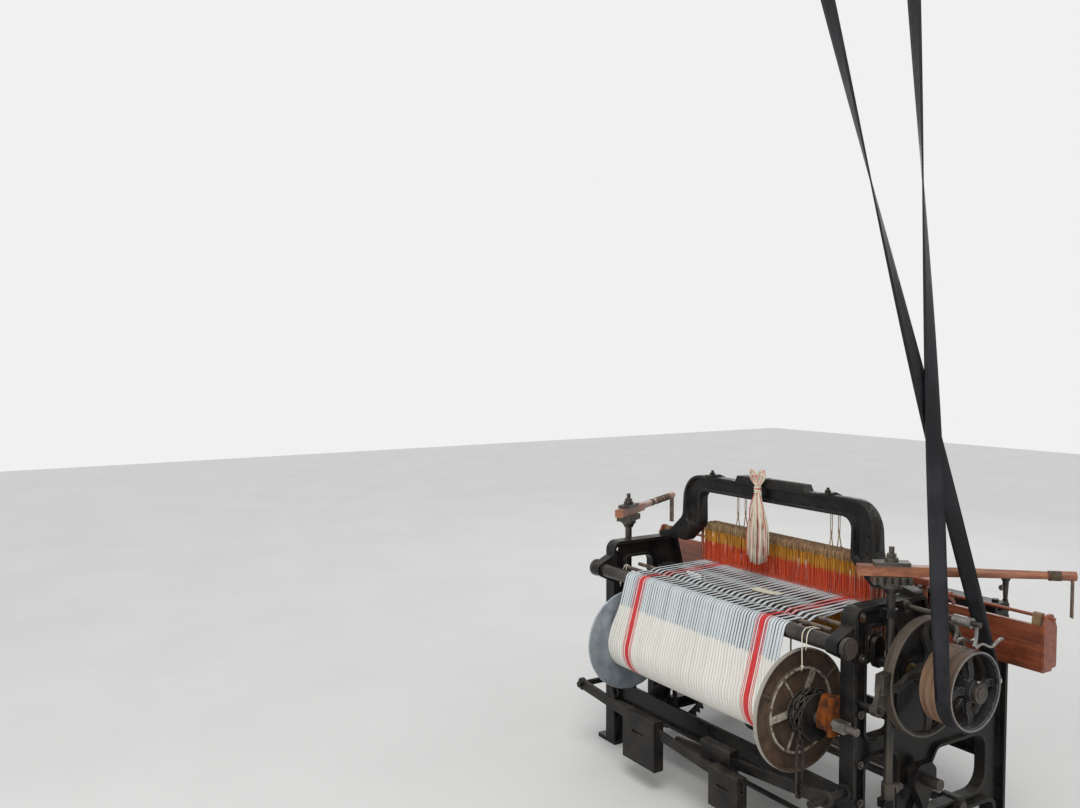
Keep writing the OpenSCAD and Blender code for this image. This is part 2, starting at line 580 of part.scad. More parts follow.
module warp_roll() color("#ded9cb") translate([0, beam_y, beam_z]) difference() {
    rod_x(-flange_x + soft_gap, flange_x - soft_gap, 0, 0, roll_r);
    rod_x(-flange_x - 1, flange_x + 1, 0, 0, 56 + seat_gap);
}
module beam_ruffles() color("#2d2a27") both_sides() translate([ruffle_x, beam_y, beam_z])
    rotate([0, 90, 0]) rotate_extrude() translate([0, -ruffle_w / 2]) polygon([[hub_bore + seat_gap, 0],
        [ruffle_r + 22, 0], [ruffle_r + 22, 4], [ruffle_r, 5], [ruffle_r, ruffle_w - 5],
        [ruffle_r + 22, ruffle_w - 4], [ruffle_r + 22, ruffle_w], [hub_bore + seat_gap, ruffle_w]]);

// Let-off chains: wound on the drums, then down to the stirrup round each lever
link_a = 16.4;
link_b = 8.4;
link_step = 2 * link_a - 2 * chain_wire - 0.3;
wound_links = 21;
wound_angle = 20;
turn_shift = 21;
module link(a, b, wire) {
    for (s = [0, 1]) rotate([180 * s, 0, 0]) {
        translate([0, 0, a - b]) rotate([90, 0, 0]) rotate_extrude(angle = 180)
            translate([b, 0]) circle(r = wire, $fn = 24);
        translate([s == 0 ? b : -b, 0, -(a - b)]) cylinder(h = 2 * (a - b), r = wire, $fn = 24);
    }
}
stirrup_wire = 5;
stirrup_b = lever_t / 2 + stirrup_wire + 1.6;
lever_slope = 0.085;
lever_h = 44;
function lever_mid(x) = lever_z - (lever_pin_x - x) * lever_slope;
module brake_chain(y_lever) {
    x = ruffle_x + 14;
    low = lever_mid(x) - lever_h / 2 - stirrup_wire - 3;
    top_z = beam_z - link_step * 3;
    lean = atan2(y_lever - chain_drop_y, top_z - low);
    for (k = [0:wound_links - 1])
        translate([x - turn_shift * wound_angle * k / 360, beam_y, beam_z]) rotate([wound_angle * k, 0, 0])
            translate([0, chain_r, 0]) rotate([0, 0, k % 2 == 0 ? 45 : -45]) link(link_a, link_b, chain_wire);
    for (k = [1:3]) translate([x, chain_drop_y, beam_z - k * link_step]) rotate([0, 0, k % 2 == 0 ? 45 : -45])
        link(link_a, link_b, chain_wire);
    stirrup_top = top_z - link_a + chain_wire + 0.3 + stirrup_wire;
    a = (stirrup_top - low) / 2 / cos(lean);
    translate([x, chain_drop_y, stirrup_top]) rotate([-lean, 0, 0]) translate([0, 0, -a + 0.001])
        rotate([0, 0, 90]) link(a, stirrup_b, stirrup_wire);
}
module brake_chains() color("#2a2725") {
    brake_chain(left_lever_y);
    mirror([1, 0, 0]) brake_chain(right_lever_y);
}
module lever_bar(y, end_x) along_y(y - lever_t / 2, y + lever_t / 2) difference() {
    union() {
        polygon(rounded([[lever_pin_x, lever_z - lever_h / 2, 0], [lever_pin_x, lever_z + lever_h / 2, 0],
            [end_x, lever_mid(end_x) + lever_h / 2 - 6, 8], [end_x, lever_mid(end_x) - lever_h / 2 + 6, 8]]));
        translate([lever_pin_x, lever_z]) circle(r = lever_pin_r + 14);
    }
    translate([lever_pin_x, lever_z]) circle(r = lever_pin_r + run_fit);
}
module weight_block(x, w, h, y, t, drop) difference() {
    z = lever_mid(x);
    along_x(x - w / 2, x + w / 2) polygon(rounded([[y - t / 2, z - h + drop, 6], [y + t / 2, z - h + drop, 6],
        [y + t / 2, z + drop, 9], [y - t / 2, z + drop, 9]]));
    along_y(y - lever_t / 2 - soft_gap, y + lever_t / 2 + soft_gap)
        polygon([for (q = [[-1, -1], [1, -1], [1, 1], [-1, 1]]) let (d = q[0] * (w / 2 + 1))
            [x + d, z + d * lever_slope + q[1] * (lever_h / 2 + soft_gap)]]);
    block([x - w * 0.2, y + t / 2 - 8, z - h * 0.2], [x + w * 0.2, y + t / 2 + 1, z - h * 0.2 + 12]);
}
// Each weight: place along the lever, width, height, thickness and how far it rises over the middle line
left_weights = [[240, 205, 205, 50, 40], [-262, 150, 150, 50, 34]];
right_weight = [160, 160, 105, 44, 50];
left_lever_end = left_weights[1][0] - 68;
right_lever_end = right_weight[0] - 250;
module left_weight_lever() color("#2c2825") {
    lever_bar(left_lever_y, left_lever_end);
    for (w = left_weights) weight_block(w[0], w[1], w[2], left_lever_y, w[3], w[4]);
}
module right_weight_lever() color("#2c2825") mirror([1, 0, 0]) {
    lever_bar(right_lever_y, right_lever_end);
    w = right_weight;
    weight_block(w[0], w[1], w[2], right_lever_y, w[3], w[4]);
}

// Yarn sheet from the beam over the back rest to the healds, then on to the cloth
rest_c = [rest_y, rest_z];
beam_c = [beam_y, beam_z];
sheet_r = soft_gap + sheet_t;
warp_angle = tangent_angle(beam_c, roll_r + sheet_r, rest_c, rest_r + sheet_r, -1);
warp_path = concat([beam_c + (roll_r + sheet_r) * [cos(warp_angle), sin(warp_angle)]],
    arc(rest_c, rest_r + sheet_r, warp_angle, 90.5, 12),
    [[heald_y + heald_t / 2 + soft_gap, eye_z + sheet_t]]);
last_heald_y = heald_y - 3 * heald_pitch;
reed_wires = 40;
wire_pitch = 2 * sheet_half / reed_wires;
wire_w = 1.6;
module warp_sheet() color("#e6e6e2") {
    along_x(-sheet_half, sheet_half) polygon(band(warp_path, sheet_t));
    for (k = [0:2]) block([-sheet_half, heald_y - (k + 1) * heald_pitch + heald_t / 2 + soft_gap, eye_z],
        [sheet_half, heald_y - k * heald_pitch - heald_t / 2 - soft_gap, eye_z + sheet_t]);
    difference() {
        block([-sheet_half, fell_y, eye_z], [sheet_half, last_heald_y - heald_t / 2 - soft_gap, eye_z + sheet_t]);
        for (k = [1:reed_wires - 1]) let (x = -sheet_half + k * wire_pitch)
            block([x - wire_w / 2 - 0.6, fell_y + 3, eye_z - 1], [x + wire_w / 2 + 0.6, heald_y, eye_z + 3]);
    }
}
lease_r = 8;
lease_ys = [rest_y - 143, rest_y - 63];
module lease_rods() color("#4b3322") for (y = lease_ys)
    let (z = eye_z + (rest_top + soft_gap - eye_z) * (y - heald_y) / (rest_y - heald_y))
        rod_x(-heald_half - 116, heald_half + 116, y, z - soft_gap - lease_r, lease_r);
module back_rest() color("#3b3733") {
    rod_x(-frame_outer - 22, frame_outer + 22, rest_y, rest_z, rest_r);
    both_sides() rod_x(frame_outer + 2, frame_outer + 16, rest_y, rest_z, rest_r + 9);
}
beam_top_z = eye_z - 1;
module breast_beam() color("#24221f") {
    along_x(-frame_outer, frame_outer) difference() {
        polygon(rounded([[frame_front, front_shoulder, 4], [frame_front + 84, front_shoulder, 4],
            [frame_front + 84, beam_top_z, 8], [frame_front, beam_top_z, 16]]));
        polygon(rounded([[frame_front + 12, front_shoulder + 10, 3], [frame_front + 72, front_shoulder + 10, 3],
            [frame_front + 72, beam_top_z - 12, 5], [frame_front + 12, beam_top_z - 12, 5]]));
    }
    both_sides() translate([frame_inner + frame_thick / 2, frame_front + 42, beam_top_z]) hex_bolt(8, 9, 0);
}
cloth_off = soft_gap;
function tangent_point(p, c, r, side) =
    let (d = norm(p - c), a = atan2(p.y - c.y, p.x - c.x) + side * acos(r / d)) c + r * [cos(a), sin(a)];
edge_c = [frame_front + 16, beam_top_z - 16];
take_c = [roller_y, roller_z];
take_r = roller_r + cloth_off;
take_in = tangent_point([frame_front - cloth_off, front_shoulder], take_c, take_r, 1);
take_a = atan2(take_in.y - take_c.y, take_in.x - take_c.x);
cloth_r = cloth_roll_r + cloth_off + sheet_t;
roll_a = 270 - acos((take_r + cloth_r) / (roller_z - cloth_z));
cloth_path = concat([[fell_y, beam_top_z + cloth_off]], arc(edge_c, 16 + cloth_off, 90, 180, 8),
    [[frame_front - cloth_off, front_shoulder]], arc(take_c, take_r, (take_a + 360) % 360, roll_a, 8),
    [[roller_y, cloth_z] - cloth_r * [cos(roll_a), sin(roll_a)]]);
cloth_half = sheet_half - 8;
module cloth() color("#e9e6dd") along_x(-cloth_half, cloth_half)
    polygon(band([for (k = [len(cloth_path) - 1:-1:0]) cloth_path[k]], sheet_t));
module temples() color("#5a554e") both_sides() {
    x = cloth_half - 22;
    block([x - 14, frame_front + 60, beam_top_z + 2.6], [x + 14, fell_y - 78, beam_top_z + 8]);
    block([x - 30, fell_y - 80, beam_top_z + 2.6], [x + 30, fell_y - 40, beam_top_z + 7]);
    rod_x(x - 30, x + 30, fell_y - 60, beam_top_z + 13, 9);
    block([cloth_half + 3, frame_front + 66, beam_top_z], [cloth_half + 17, frame_front + 80, beam_top_z + 8]);
    block([x + 13, frame_front + 66, beam_top_z + 2.6], [cloth_half + 17, frame_front + 80, beam_top_z + 8]);
}

// Take-up: wheel on the roller, driven by the pinion of the ratchet wheel
take_module = 4;
take_teeth = 36;
pinion_teeth = 12;
take_gap = take_module * (take_teeth + pinion_teeth) / 2;
stud_y = roller_y + take_gap * cos(45);
stud_z = roller_z - take_gap * sin(45);
take_x = frame_outer + 12;
module take_up_roller() color("#6f5a45") {
    rod_x(-frame_inner + 30, frame_inner - 30, roller_y, roller_z, roller_r);
    rod_x(-frame_outer - 10, take_x + 20, roller_y, roller_z, roller_journal);
    translate([0, roller_y, roller_z]) along_x(take_x, take_x + 18)
        polygon(gear_path(take_teeth, take_module, 0.6));
    rod_x(take_x - 4, take_x + 24, roller_y, roller_z, 26);
}
module ratchet_wheel() color("#3a3632") translate([0, stud_y, stud_z]) difference() {
    union() {
        rotate([135, 0, 0]) along_x(take_x, take_x + 20)
            polygon(gear_path(pinion_teeth, take_module, 0.6));
        along_x(take_x + 19, take_x + 27) polygon([for (k = [0:47]) each
            [48 * [cos(7.5 * k), sin(7.5 * k)], 54 * [cos(7.5 * k + 0.6), sin(7.5 * k + 0.6)]]]);
        rod_x(take_x + 26, take_x + 34, 0, 0, 20);
    }
    rod_x(take_x - 10, take_x + 50, 0, 0, 10 + run_fit);
}
module cloth_roller() color("#dedad0") {
    rod_x(-cloth_half, cloth_half, roller_y, cloth_z, cloth_roll_r);
    rod_x(-frame_inner + 20, frame_inner - 20, roller_y, cloth_z, 26);
    rod_x(-frame_outer - 8, frame_outer + 8, roller_y, cloth_z, roller_journal);
}

// Crank arms join each crank to the sley; the pivot at the sley is left open
arm_eye = crank_r + 16;
pin_r = 10;
module crank_arms() color("#4a4540") both_sides() difference() {
    union() {
        along_x(arm_x - arm_w / 2, arm_x + arm_w / 2) {
            polygon([[crank_y, crank_z + crank_throw - 21], [crank_y, crank_z + crank_throw + 21],
                [pin_y, pin_z + 14], [pin_y, pin_z - 14]]);
            translate([crank_y, crank_z + crank_throw]) circle(r = arm_eye);
            translate([pin_y, pin_z]) circle(r = 22);
        }
        rod_x(sword_x + sword_w / 2 + soft_gap, arm_x, pin_y, pin_z, pin_r);
        for (s = [-1, 1]) let (z = crank_z + crank_throw + s * 29)
            along_x(arm_x - arm_w / 2 + 4, arm_x + arm_w / 2 - 4)
                polygon(rounded(box_path(crank_y - 46, z - 6, crank_y + 24, z + 6, 3)));
    }
    rod_x(arm_x - arm_w, arm_x + arm_w, crank_y, crank_z + crank_throw, crank_r + run_fit);
}
module tappet_shaft() color("#55504a")
    rod_x(-flywheel_out - 12, frame_outer + 62, tappet_y, tappet_z, tappet_r);
pick_tappet_x = frame_outer + 8;
nose_r = 112;
boss_r = 56;
module picking_tappets() color("#2f2c29") for (s = [-1, 1]) difference() {
    along_x(s > 0 ? pick_tappet_x : -pick_tappet_x - 32, s > 0 ? pick_tappet_x + 32 : -pick_tappet_x)
        translate([tappet_y, tappet_z]) rotate(s * 90) polygon(rounded([
            [-boss_r, -30, 26], [-30, -boss_r, 26], [30, -boss_r, 26], [boss_r, -24, 30], [nose_r - 10, -12, 10],
            [nose_r, 8, 9], [nose_r - 34, 22, 12], [44, 40, 30], [20, boss_r, 26], [-30, boss_r, 26],
            [-boss_r, 30, 26]]));
    rod_x(-cut_len, cut_len, tappet_y, tappet_z, tappet_r + seat_gap);
}
shed_r = 103;
shed_low = 55;
shed_half = 12;
module shedding_tappets() color("#37332f") difference() {
    union() {
        for (s = [-1, 1]) along_x(s * treadle_x - shed_half, s * treadle_x + shed_half)
            translate([tappet_y, tappet_z])
            polygon([for (k = [0:47]) let (a = 7.5 * k, w = (1 + s * cos(a)) / 2)
                (shed_low + (shed_r - shed_low) * w * w * (3 - 2 * w)) * [cos(a), sin(a)]]);
        rod_x(-treadle_x - shed_half, treadle_x + shed_half, tappet_y, tappet_z, tappet_r + 14);
    }
    rod_x(-cut_len, cut_len, tappet_y, tappet_z, tappet_r + seat_gap);
}

// Sley: rocks on its shaft and carries the reed and the shuttle boxes
sley_bottom = 700;
module rocking_shaft() color("#55504a")
    rod_x(-frame_outer - 14, frame_outer + 14, rock_y, rock_z, rock_r);
module sley_swords() color("#262421") for (s = [-1, 1]) difference() {
    x = s * sword_x;
    along_x(x - sword_w / 2, x + sword_w / 2) {
        polygon(rounded([[rock_y - 26, rock_z, 0], [rock_y + 26, rock_z, 0], [rock_y + 14, pin_z - 60, 60],
            [pin_y - 4, pin_z - 14, 10], [pin_y + 14, pin_z - 8, 10], [pin_y + 14, pin_z + 16, 12],
            [sley_rear - 4, pin_z + 24, 12], [sley_rear - 4, sley_bottom, 0], [sley_front + 4, sley_bottom, 0],
            [sley_front + 12, pin_z - 60, 60]]));
        translate([rock_y, rock_z]) circle(r = 36);
    }
    rod_x(x - 40, x + 40, rock_y, rock_z, rock_r + seat_gap);
}
module sley_beam() color("#7a3b22") {
    along_x(-sley_half, sley_half) polygon([[sley_front + 8, sley_bottom], [sley_rear - 6, sley_bottom],
        [sley_rear, sley_bottom + 14], [sley_rear, race_z], [sley_front, race_z],
        [sley_front, sley_bottom + 20]]);
}
module reed() color("#a8a49a") {
    for (z = [race_z, reed_top - 20])
        block([-reed_half, reed_y - reed_t / 2, z], [reed_half, reed_y + reed_t / 2, z + 10]);
    for (s = [-1, 1]) block([s * (reed_half - 4) - 4, reed_y - reed_t / 2, race_z + 9],
        [s * (reed_half - 4) + 4, reed_y + reed_t / 2, reed_top - 19]);
    for (k = [1:reed_wires - 1]) let (x = -sheet_half + k * wire_pitch)
        block([x - wire_w / 2, reed_y - 3, race_z + 9], [x + wire_w / 2, reed_y + 3, reed_top - 19]);
}
module hand_rail() color("#6e3a22") {
    along_x(-reed_half - 60, reed_half + 60) polygon(rounded([[reed_y - 18, reed_top - 10, 4],
        [reed_y + 20, reed_top - 10, 4], [reed_y + 20, reed_top + 18, 10], [reed_y - 18, reed_top + 18, 10]]));
    both_sides() block([reed_half + 22, reed_y - 2, race_z], [reed_half + 40, sley_rear, reed_top - 9]);
}
box_front = sley_front + 12;
box_back = sley_front + 12 + box_depth;
box_top = 858;
spindle_z = 884;
spindle_y = box_front + 22;
spindle_r = 6;
module shuttle_boxes() color("#7c3a20") both_sides() {
    block([box_start - 34, box_back, race_z], [sley_half, sley_rear, box_top]);
    block([box_start, sley_front, race_z], [sley_half, box_front, box_top - 14]);
    along_x(sley_half, sley_half + 9) polygon(rounded([[sley_front - 4, sley_bottom + 14, 10],
        [sley_rear + 4, sley_bottom + 14, 10], [sley_rear + 4, box_top + 4, 10],
        [spindle_y + 14, spindle_z + 14, 12],
        [spindle_y - 14, spindle_z + 14, 12], [sley_front - 4, box_top - 6, 10]]));
    along_x(box_start - 6, box_start + 5) polygon(rounded([
        [box_front - 8, box_top - 14, 3], [box_front, box_top - 14, 0],
        [spindle_y + 12, spindle_z - 10, 6], [spindle_y + 12, spindle_z + 12, 10],
        [spindle_y - 12, spindle_z + 12, 10],
        [spindle_y - 14, spindle_z - 10, 6]]));
    rod_x(box_start - 20, sley_half + 24, spindle_y, spindle_z, spindle_r);
}
shuttle_x = sley_half - 239;
module shuttle() color("#8b5a33") translate([shuttle_x, box_front + box_depth / 2 - 3, race_z]) {
    difference() {
        linear_extrude(27) polygon(rounded([[-170, 0, 4], [-120, -18, 60], [120, -18, 60], [170, 0, 4],
            [120, 18, 60], [-120, 18, 60]]));
        translate([-85, -10, 8]) cube([150, 20, 30]);
    }
    for (s = [-1, 1]) translate([s * 150, 0, 13]) rotate([0, s * 90, 0]) cylinder(h = 40, r1 = 9, r2 = 1.5);
}
picker_out = sley_half - 18;
module picker() color("#b98d5c") difference() {
    along_x(picker_out - 30, picker_out) polygon(rounded([
        [spindle_y - 14, race_z + 3, 5], [spindle_y + 16, race_z + 3, 5],
        [spindle_y + 16, spindle_z - 20, 10], [spindle_y + 11, spindle_z + 12, 9],
        [spindle_y - 11, spindle_z + 12, 9],
        [spindle_y - 14, spindle_z - 20, 10]]));
    rod_x(picker_out - 60, picker_out + 30, spindle_y, spindle_z, spindle_r + run_fit);
}
module left_picker() picker();
module right_picker() mirror([1, 0, 0]) picker();

// Picking shafts and sticks
pick_r = 15;
pick_foot = 258;
stick_z = frame_height + 119;
stick_h = 34;
stick_butt = 110;
block_len = 260;
cap_half = 33;
cap_len = 124;
cap_h = 26;
strap_len = 137;
right_stick_angle = 41;
left_stick_angle = 30;
module picking_bearings() color("#2d2a27") both_sides() difference() {
    union() {
        block([frame_outer, pick_y - 24, frame_height - 40], [pick_x + 6, pick_y + 24, frame_height - 10]);
        translate([pick_x, pick_y, frame_height - 40]) cylinder(h = 30, r = 23);
        block([frame_outer, pick_y - 24, pick_foot - 22], [pick_x + 6, pick_y + 24, pick_foot + 8]);
        translate([pick_x, pick_y, pick_foot - 22]) cylinder(h = 30, r = 23);
    }
    translate([pick_x, pick_y, pick_foot]) cylinder(h = cut_len, r = pick_r + run_fit);
}
module picking_shaft() {
    translate([pick_x, pick_y, pick_foot + 0.3]) cylinder(h = stick_z - 54 - pick_foot, r = pick_r);
    translate([pick_x, pick_y, 0]) {
        translate([0, 0, tappet_z - 26]) cylinder(h = 52, r = 22);
        translate([0, -20, tappet_z]) rotate([90, 0, 0]) cylinder(h = 46, r1 = 20, r2 = 12);
        translate([0, 0, stick_z - 76]) cylinder(h = 22, r1 = 20, r2 = 30);
        translate([0, 0, stick_z - 56]) cylinder(h = 16, r = 34);
        translate([0, 0, stick_z - 18]) cylinder(h = 98, r = 9);
        translate([0, 0, stick_z + stick_h / 2 + 26]) cylinder(h = 14, r = 17, $fn = 6);
    }
}
module stick_cap(angle) translate([pick_x, pick_y, stick_z]) rotate(angle) {
    difference() {
        translate([-cap_half, -cap_len / 2, -stick_h / 2 - 1 - cap_h]) cube([2 * cap_half, cap_len, cap_h]);
        for (s = [-1, 1], k = [-2:2])
            translate([s * cap_half, k * 24, -stick_h]) rotate(45) cube([10, 10, 2 * stick_h], center = true);
    }
    translate([6 - cap_half, 4 - cap_len / 2, stick_h / 2]) cube([2 * cap_half - 12, cap_len - 8, cap_h / 2]);
    translate([0, 0, stick_h / 2 + 12]) cylinder(h = 14, r = 22);
}
module stick(angle) translate([pick_x, pick_y, stick_z]) rotate(angle) {
    difference() {
        translate([-20, stick_butt - block_len, -stick_h / 2]) cube([40, block_len, stick_h]);
        translate([0, 0, -stick_h]) cylinder(h = stick_h * 2, r = 9 + seat_gap);
    }
    round_from = block_len - stick_butt - 2;
    translate([0, -round_from, 0]) rotate([90, 0, 0]) cylinder(h = stick_len - round_from - 4, r1 = 17, r2 = 12);
    translate([0, -stick_len + 66, 0]) rotate([90, 0, 0]) cylinder(h = 66, r = 15.5);
    translate([-11, -stick_len + 8, -strap_len]) cube([22, 4, strap_len]);
}
module left_picking_shaft() color("#35322f") {
    picking_shaft();
    stick_cap(left_stick_angle);
}
module left_picking_stick() color("#7a4a2a") stick(left_stick_angle);
module right_picking_shaft() color("#35322f") mirror([1, 0, 0]) {
    picking_shaft();
    stick_cap(right_stick_angle);
}
module right_picking_stick() color("#a8572e") mirror([1, 0, 0]) stick(right_stick_angle);

// Hand controls
handle_pivot_z = 610;
handle_top = frame_height + 4;
fork_y = 178;
fork_z = frame_height - 21;
brake_pin_y = 395;
brake_pin_z = 605;
module starting_handle() color("#3b3733") difference() {
    union() {
        along_y(frame_front - 26, frame_front - 16) polygon(rounded([[-lever_pin_x - 16, handle_pivot_z - 18, 12],
            [-lever_pin_x + 16, handle_pivot_z - 18, 12], [-lever_pin_x + 9, handle_top - 90, 6],
            [-lever_pin_x - 9, handle_top - 90, 6]]));
        translate([-lever_pin_x, frame_front - 21, handle_top - 92]) cylinder(h = 74, r1 = 8, r2 = 12);
        translate([-lever_pin_x, frame_front - 21, handle_top - 12]) sphere(r = 17);
    }
    rod_y(frame_front - 40, frame_front, -lever_pin_x, handle_pivot_z, 8 + run_fit);
}
module belt_fork_rail() color("#4c4843") {
    rod_x(-pulley_out - 30, -frame_outer, fork_y, fork_z, 9);
    rod_x(-frame_outer - 14, -frame_outer, fork_y, fork_z, 20);
}
// The prongs drop from the slide to the pulley's top and wave forward beside the belt
pulley_top = crank_z + pulley_r;
fork_path = concat([[fork_y - 20, fork_z - 4]], arc([fork_y + 16, pulley_top + 52], 34, 180, 225, 4),
    [for (k = [0:12]) [fork_y - 14 - k * 12, pulley_top + 22 + 9 * sin(k * 40)]]);
module belt_fork() color("#b5b3ac") {
    difference() {
        rod_x(belt_x - 30, belt_x + 34, fork_y, fork_z, 17);
        rod_x(belt_x - 60, belt_x + 60, fork_y, fork_z, 9 + run_fit);
    }
    for (s = [-1, 1]) {
        x = belt_x + s * (belt_w / 2 + 9);
        along_x(x - 4, x + 4) polygon(band(fork_path, 7));
        rod_x(min(x, belt_x) - 4, max(x, belt_x) + 4, fork_y - 17, fork_z - 7, 5);
    }
}
module brake_lever() color("#3f3b37") difference() {
    union() {
        along_x(-flywheel_out + 2, -flywheel_out + flywheel_w - 2) polygon(concat(
            arc([crank_y, crank_z], flywheel_r + 0.6, -6, 14, 6),
            [[crank_y + flywheel_r + 34, crank_z + 44], [crank_y + flywheel_r + 38, crank_z - 18]]));
        along_x(-flywheel_out + 12, -flywheel_out + flywheel_w - 10) polygon(rounded([
            [brake_pin_y - 20, brake_pin_z - 4, 8], [brake_pin_y + 20, brake_pin_z - 4, 8],
            [crank_y + flywheel_r + 36, crank_z + 10, 6],
            [crank_y + flywheel_r + 14, crank_z + 4, 6]]));
        rod_x(-flywheel_out + 6, -flywheel_out + flywheel_w - 4, brake_pin_y, brake_pin_z, 22);
    }
    rod_x(-cut_len, 0, brake_pin_y, brake_pin_z, 10 + run_fit);
}

left_side_frame();
right_side_frame();
arch_rail();
breast_beam();
back_rest();
cross_rails();
crank_bushes();
tappet_bushes();
beam_bearings();
picking_bearings();
lease_rods();
warp_sheet();
cloth();
temples();
brake_chains();
drive_belt();
roller_brackets();
belt_fork_rail();
beam_shaft();
near_flange();
far_flange();
warp_roll();
beam_ruffles();
crankshaft();
brake_wheel();
fast_pulley();
crank_wheel();
crank_arms();
loose_pulley();
tappet_shaft();
tappet_wheel();
picking_tappets();
shedding_tappets();
rocking_shaft();
sley_swords();
sley_beam();
reed();
hand_rail();
shuttle_boxes();
shuttle();
left_picker();
right_picker();
left_picking_shaft();
left_picking_stick();
right_picking_shaft();
right_picking_stick();
back_healds();
front_healds();
heald_roller();
back_treadle();
front_treadle();
take_up_roller();
ratchet_wheel();
cloth_roller();
left_weight_lever();
right_weight_lever();
starting_handle();
belt_fork();
brake_lever();
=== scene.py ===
import json
import math
import random

import bmesh
import bpy
from mathutils import Matrix, Vector


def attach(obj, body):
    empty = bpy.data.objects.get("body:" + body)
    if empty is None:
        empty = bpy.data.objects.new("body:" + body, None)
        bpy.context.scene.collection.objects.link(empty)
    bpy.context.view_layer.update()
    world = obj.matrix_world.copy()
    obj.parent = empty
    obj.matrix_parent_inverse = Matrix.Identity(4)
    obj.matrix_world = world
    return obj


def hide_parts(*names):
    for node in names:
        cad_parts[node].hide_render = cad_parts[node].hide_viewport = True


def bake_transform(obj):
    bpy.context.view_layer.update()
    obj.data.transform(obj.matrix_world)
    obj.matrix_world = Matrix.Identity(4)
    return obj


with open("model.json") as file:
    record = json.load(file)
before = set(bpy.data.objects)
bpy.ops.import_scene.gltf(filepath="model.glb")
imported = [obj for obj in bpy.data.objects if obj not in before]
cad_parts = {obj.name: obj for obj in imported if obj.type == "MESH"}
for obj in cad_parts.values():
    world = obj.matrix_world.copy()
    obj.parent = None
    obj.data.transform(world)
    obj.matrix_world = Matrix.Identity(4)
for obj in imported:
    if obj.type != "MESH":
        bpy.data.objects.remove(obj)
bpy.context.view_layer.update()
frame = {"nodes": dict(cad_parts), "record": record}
scene = bpy.context.scene
nodes = frame["nodes"]
print("frame loaded:", len(nodes), "solids")


def linkNew(name, data):
    thing = bpy.data.objects.new(name, data)
    bpy.context.collection.objects.link(thing)
    return thing


# camera
camera = {
    "place": (-2.8269, 2.9415, 1.7645),
    "right": (-0.5227, -0.8525, -0.0021),
    "up": (0.0420, -0.0282, 0.9987),
    "ahead": (0.8515, -0.5219, -0.0506),
    "lens": 32.04,
    "sensor": 36,
    "clip": (0.05, 100),
}


def makeCamera(c):
    data = bpy.data.cameras.new("mainCamera")
    data.lens = c["lens"]
    data.sensor_width = c["sensor"]
    data.sensor_fit = "HORIZONTAL"
    data.clip_start, data.clip_end = c["clip"]
    cam = linkNew("mainCamera", data)
    right, up, ahead = Vector(c["right"]), Vector(c["up"]), Vector(c["ahead"])
    cam.matrix_world = Matrix((
        (right.x, up.x, -ahead.x, c["place"][0]),
        (right.y, up.y, -ahead.y, c["place"][1]),
        (right.z, up.z, -ahead.z, c["place"][2]),
        (0, 0, 0, 1)))
    scene.camera = cam


makeCamera(camera)

# mesh helpers, all in metres in the loom's frame


def angles(count):
    return [2 * math.pi * k / count for k in range(count)]


def sheetFaces(rows, per):
    # two layers of points, each rows by per, and the edge between them
    top, last = rows * per, per - 1
    faces = []
    for i in range(rows - 1):
        for k in range(last):
            a = i * per + k
            faces.append((a, a + 1, a + per + 1, a + per))
            faces.append((top + a, top + a + per, top + a + per + 1, top + a + 1))
    ring = list(range(last)) + [i * per + last for i in range(rows - 1)]
    ring += [(rows - 1) * per + k for k in range(last, 0, -1)] + [i * per for i in range(rows - 1, 0, -1)]
    for a, b in zip(ring, ring[1:] + ring[:1]):
        faces.append((a, top + a, top + b, b))
    return faces


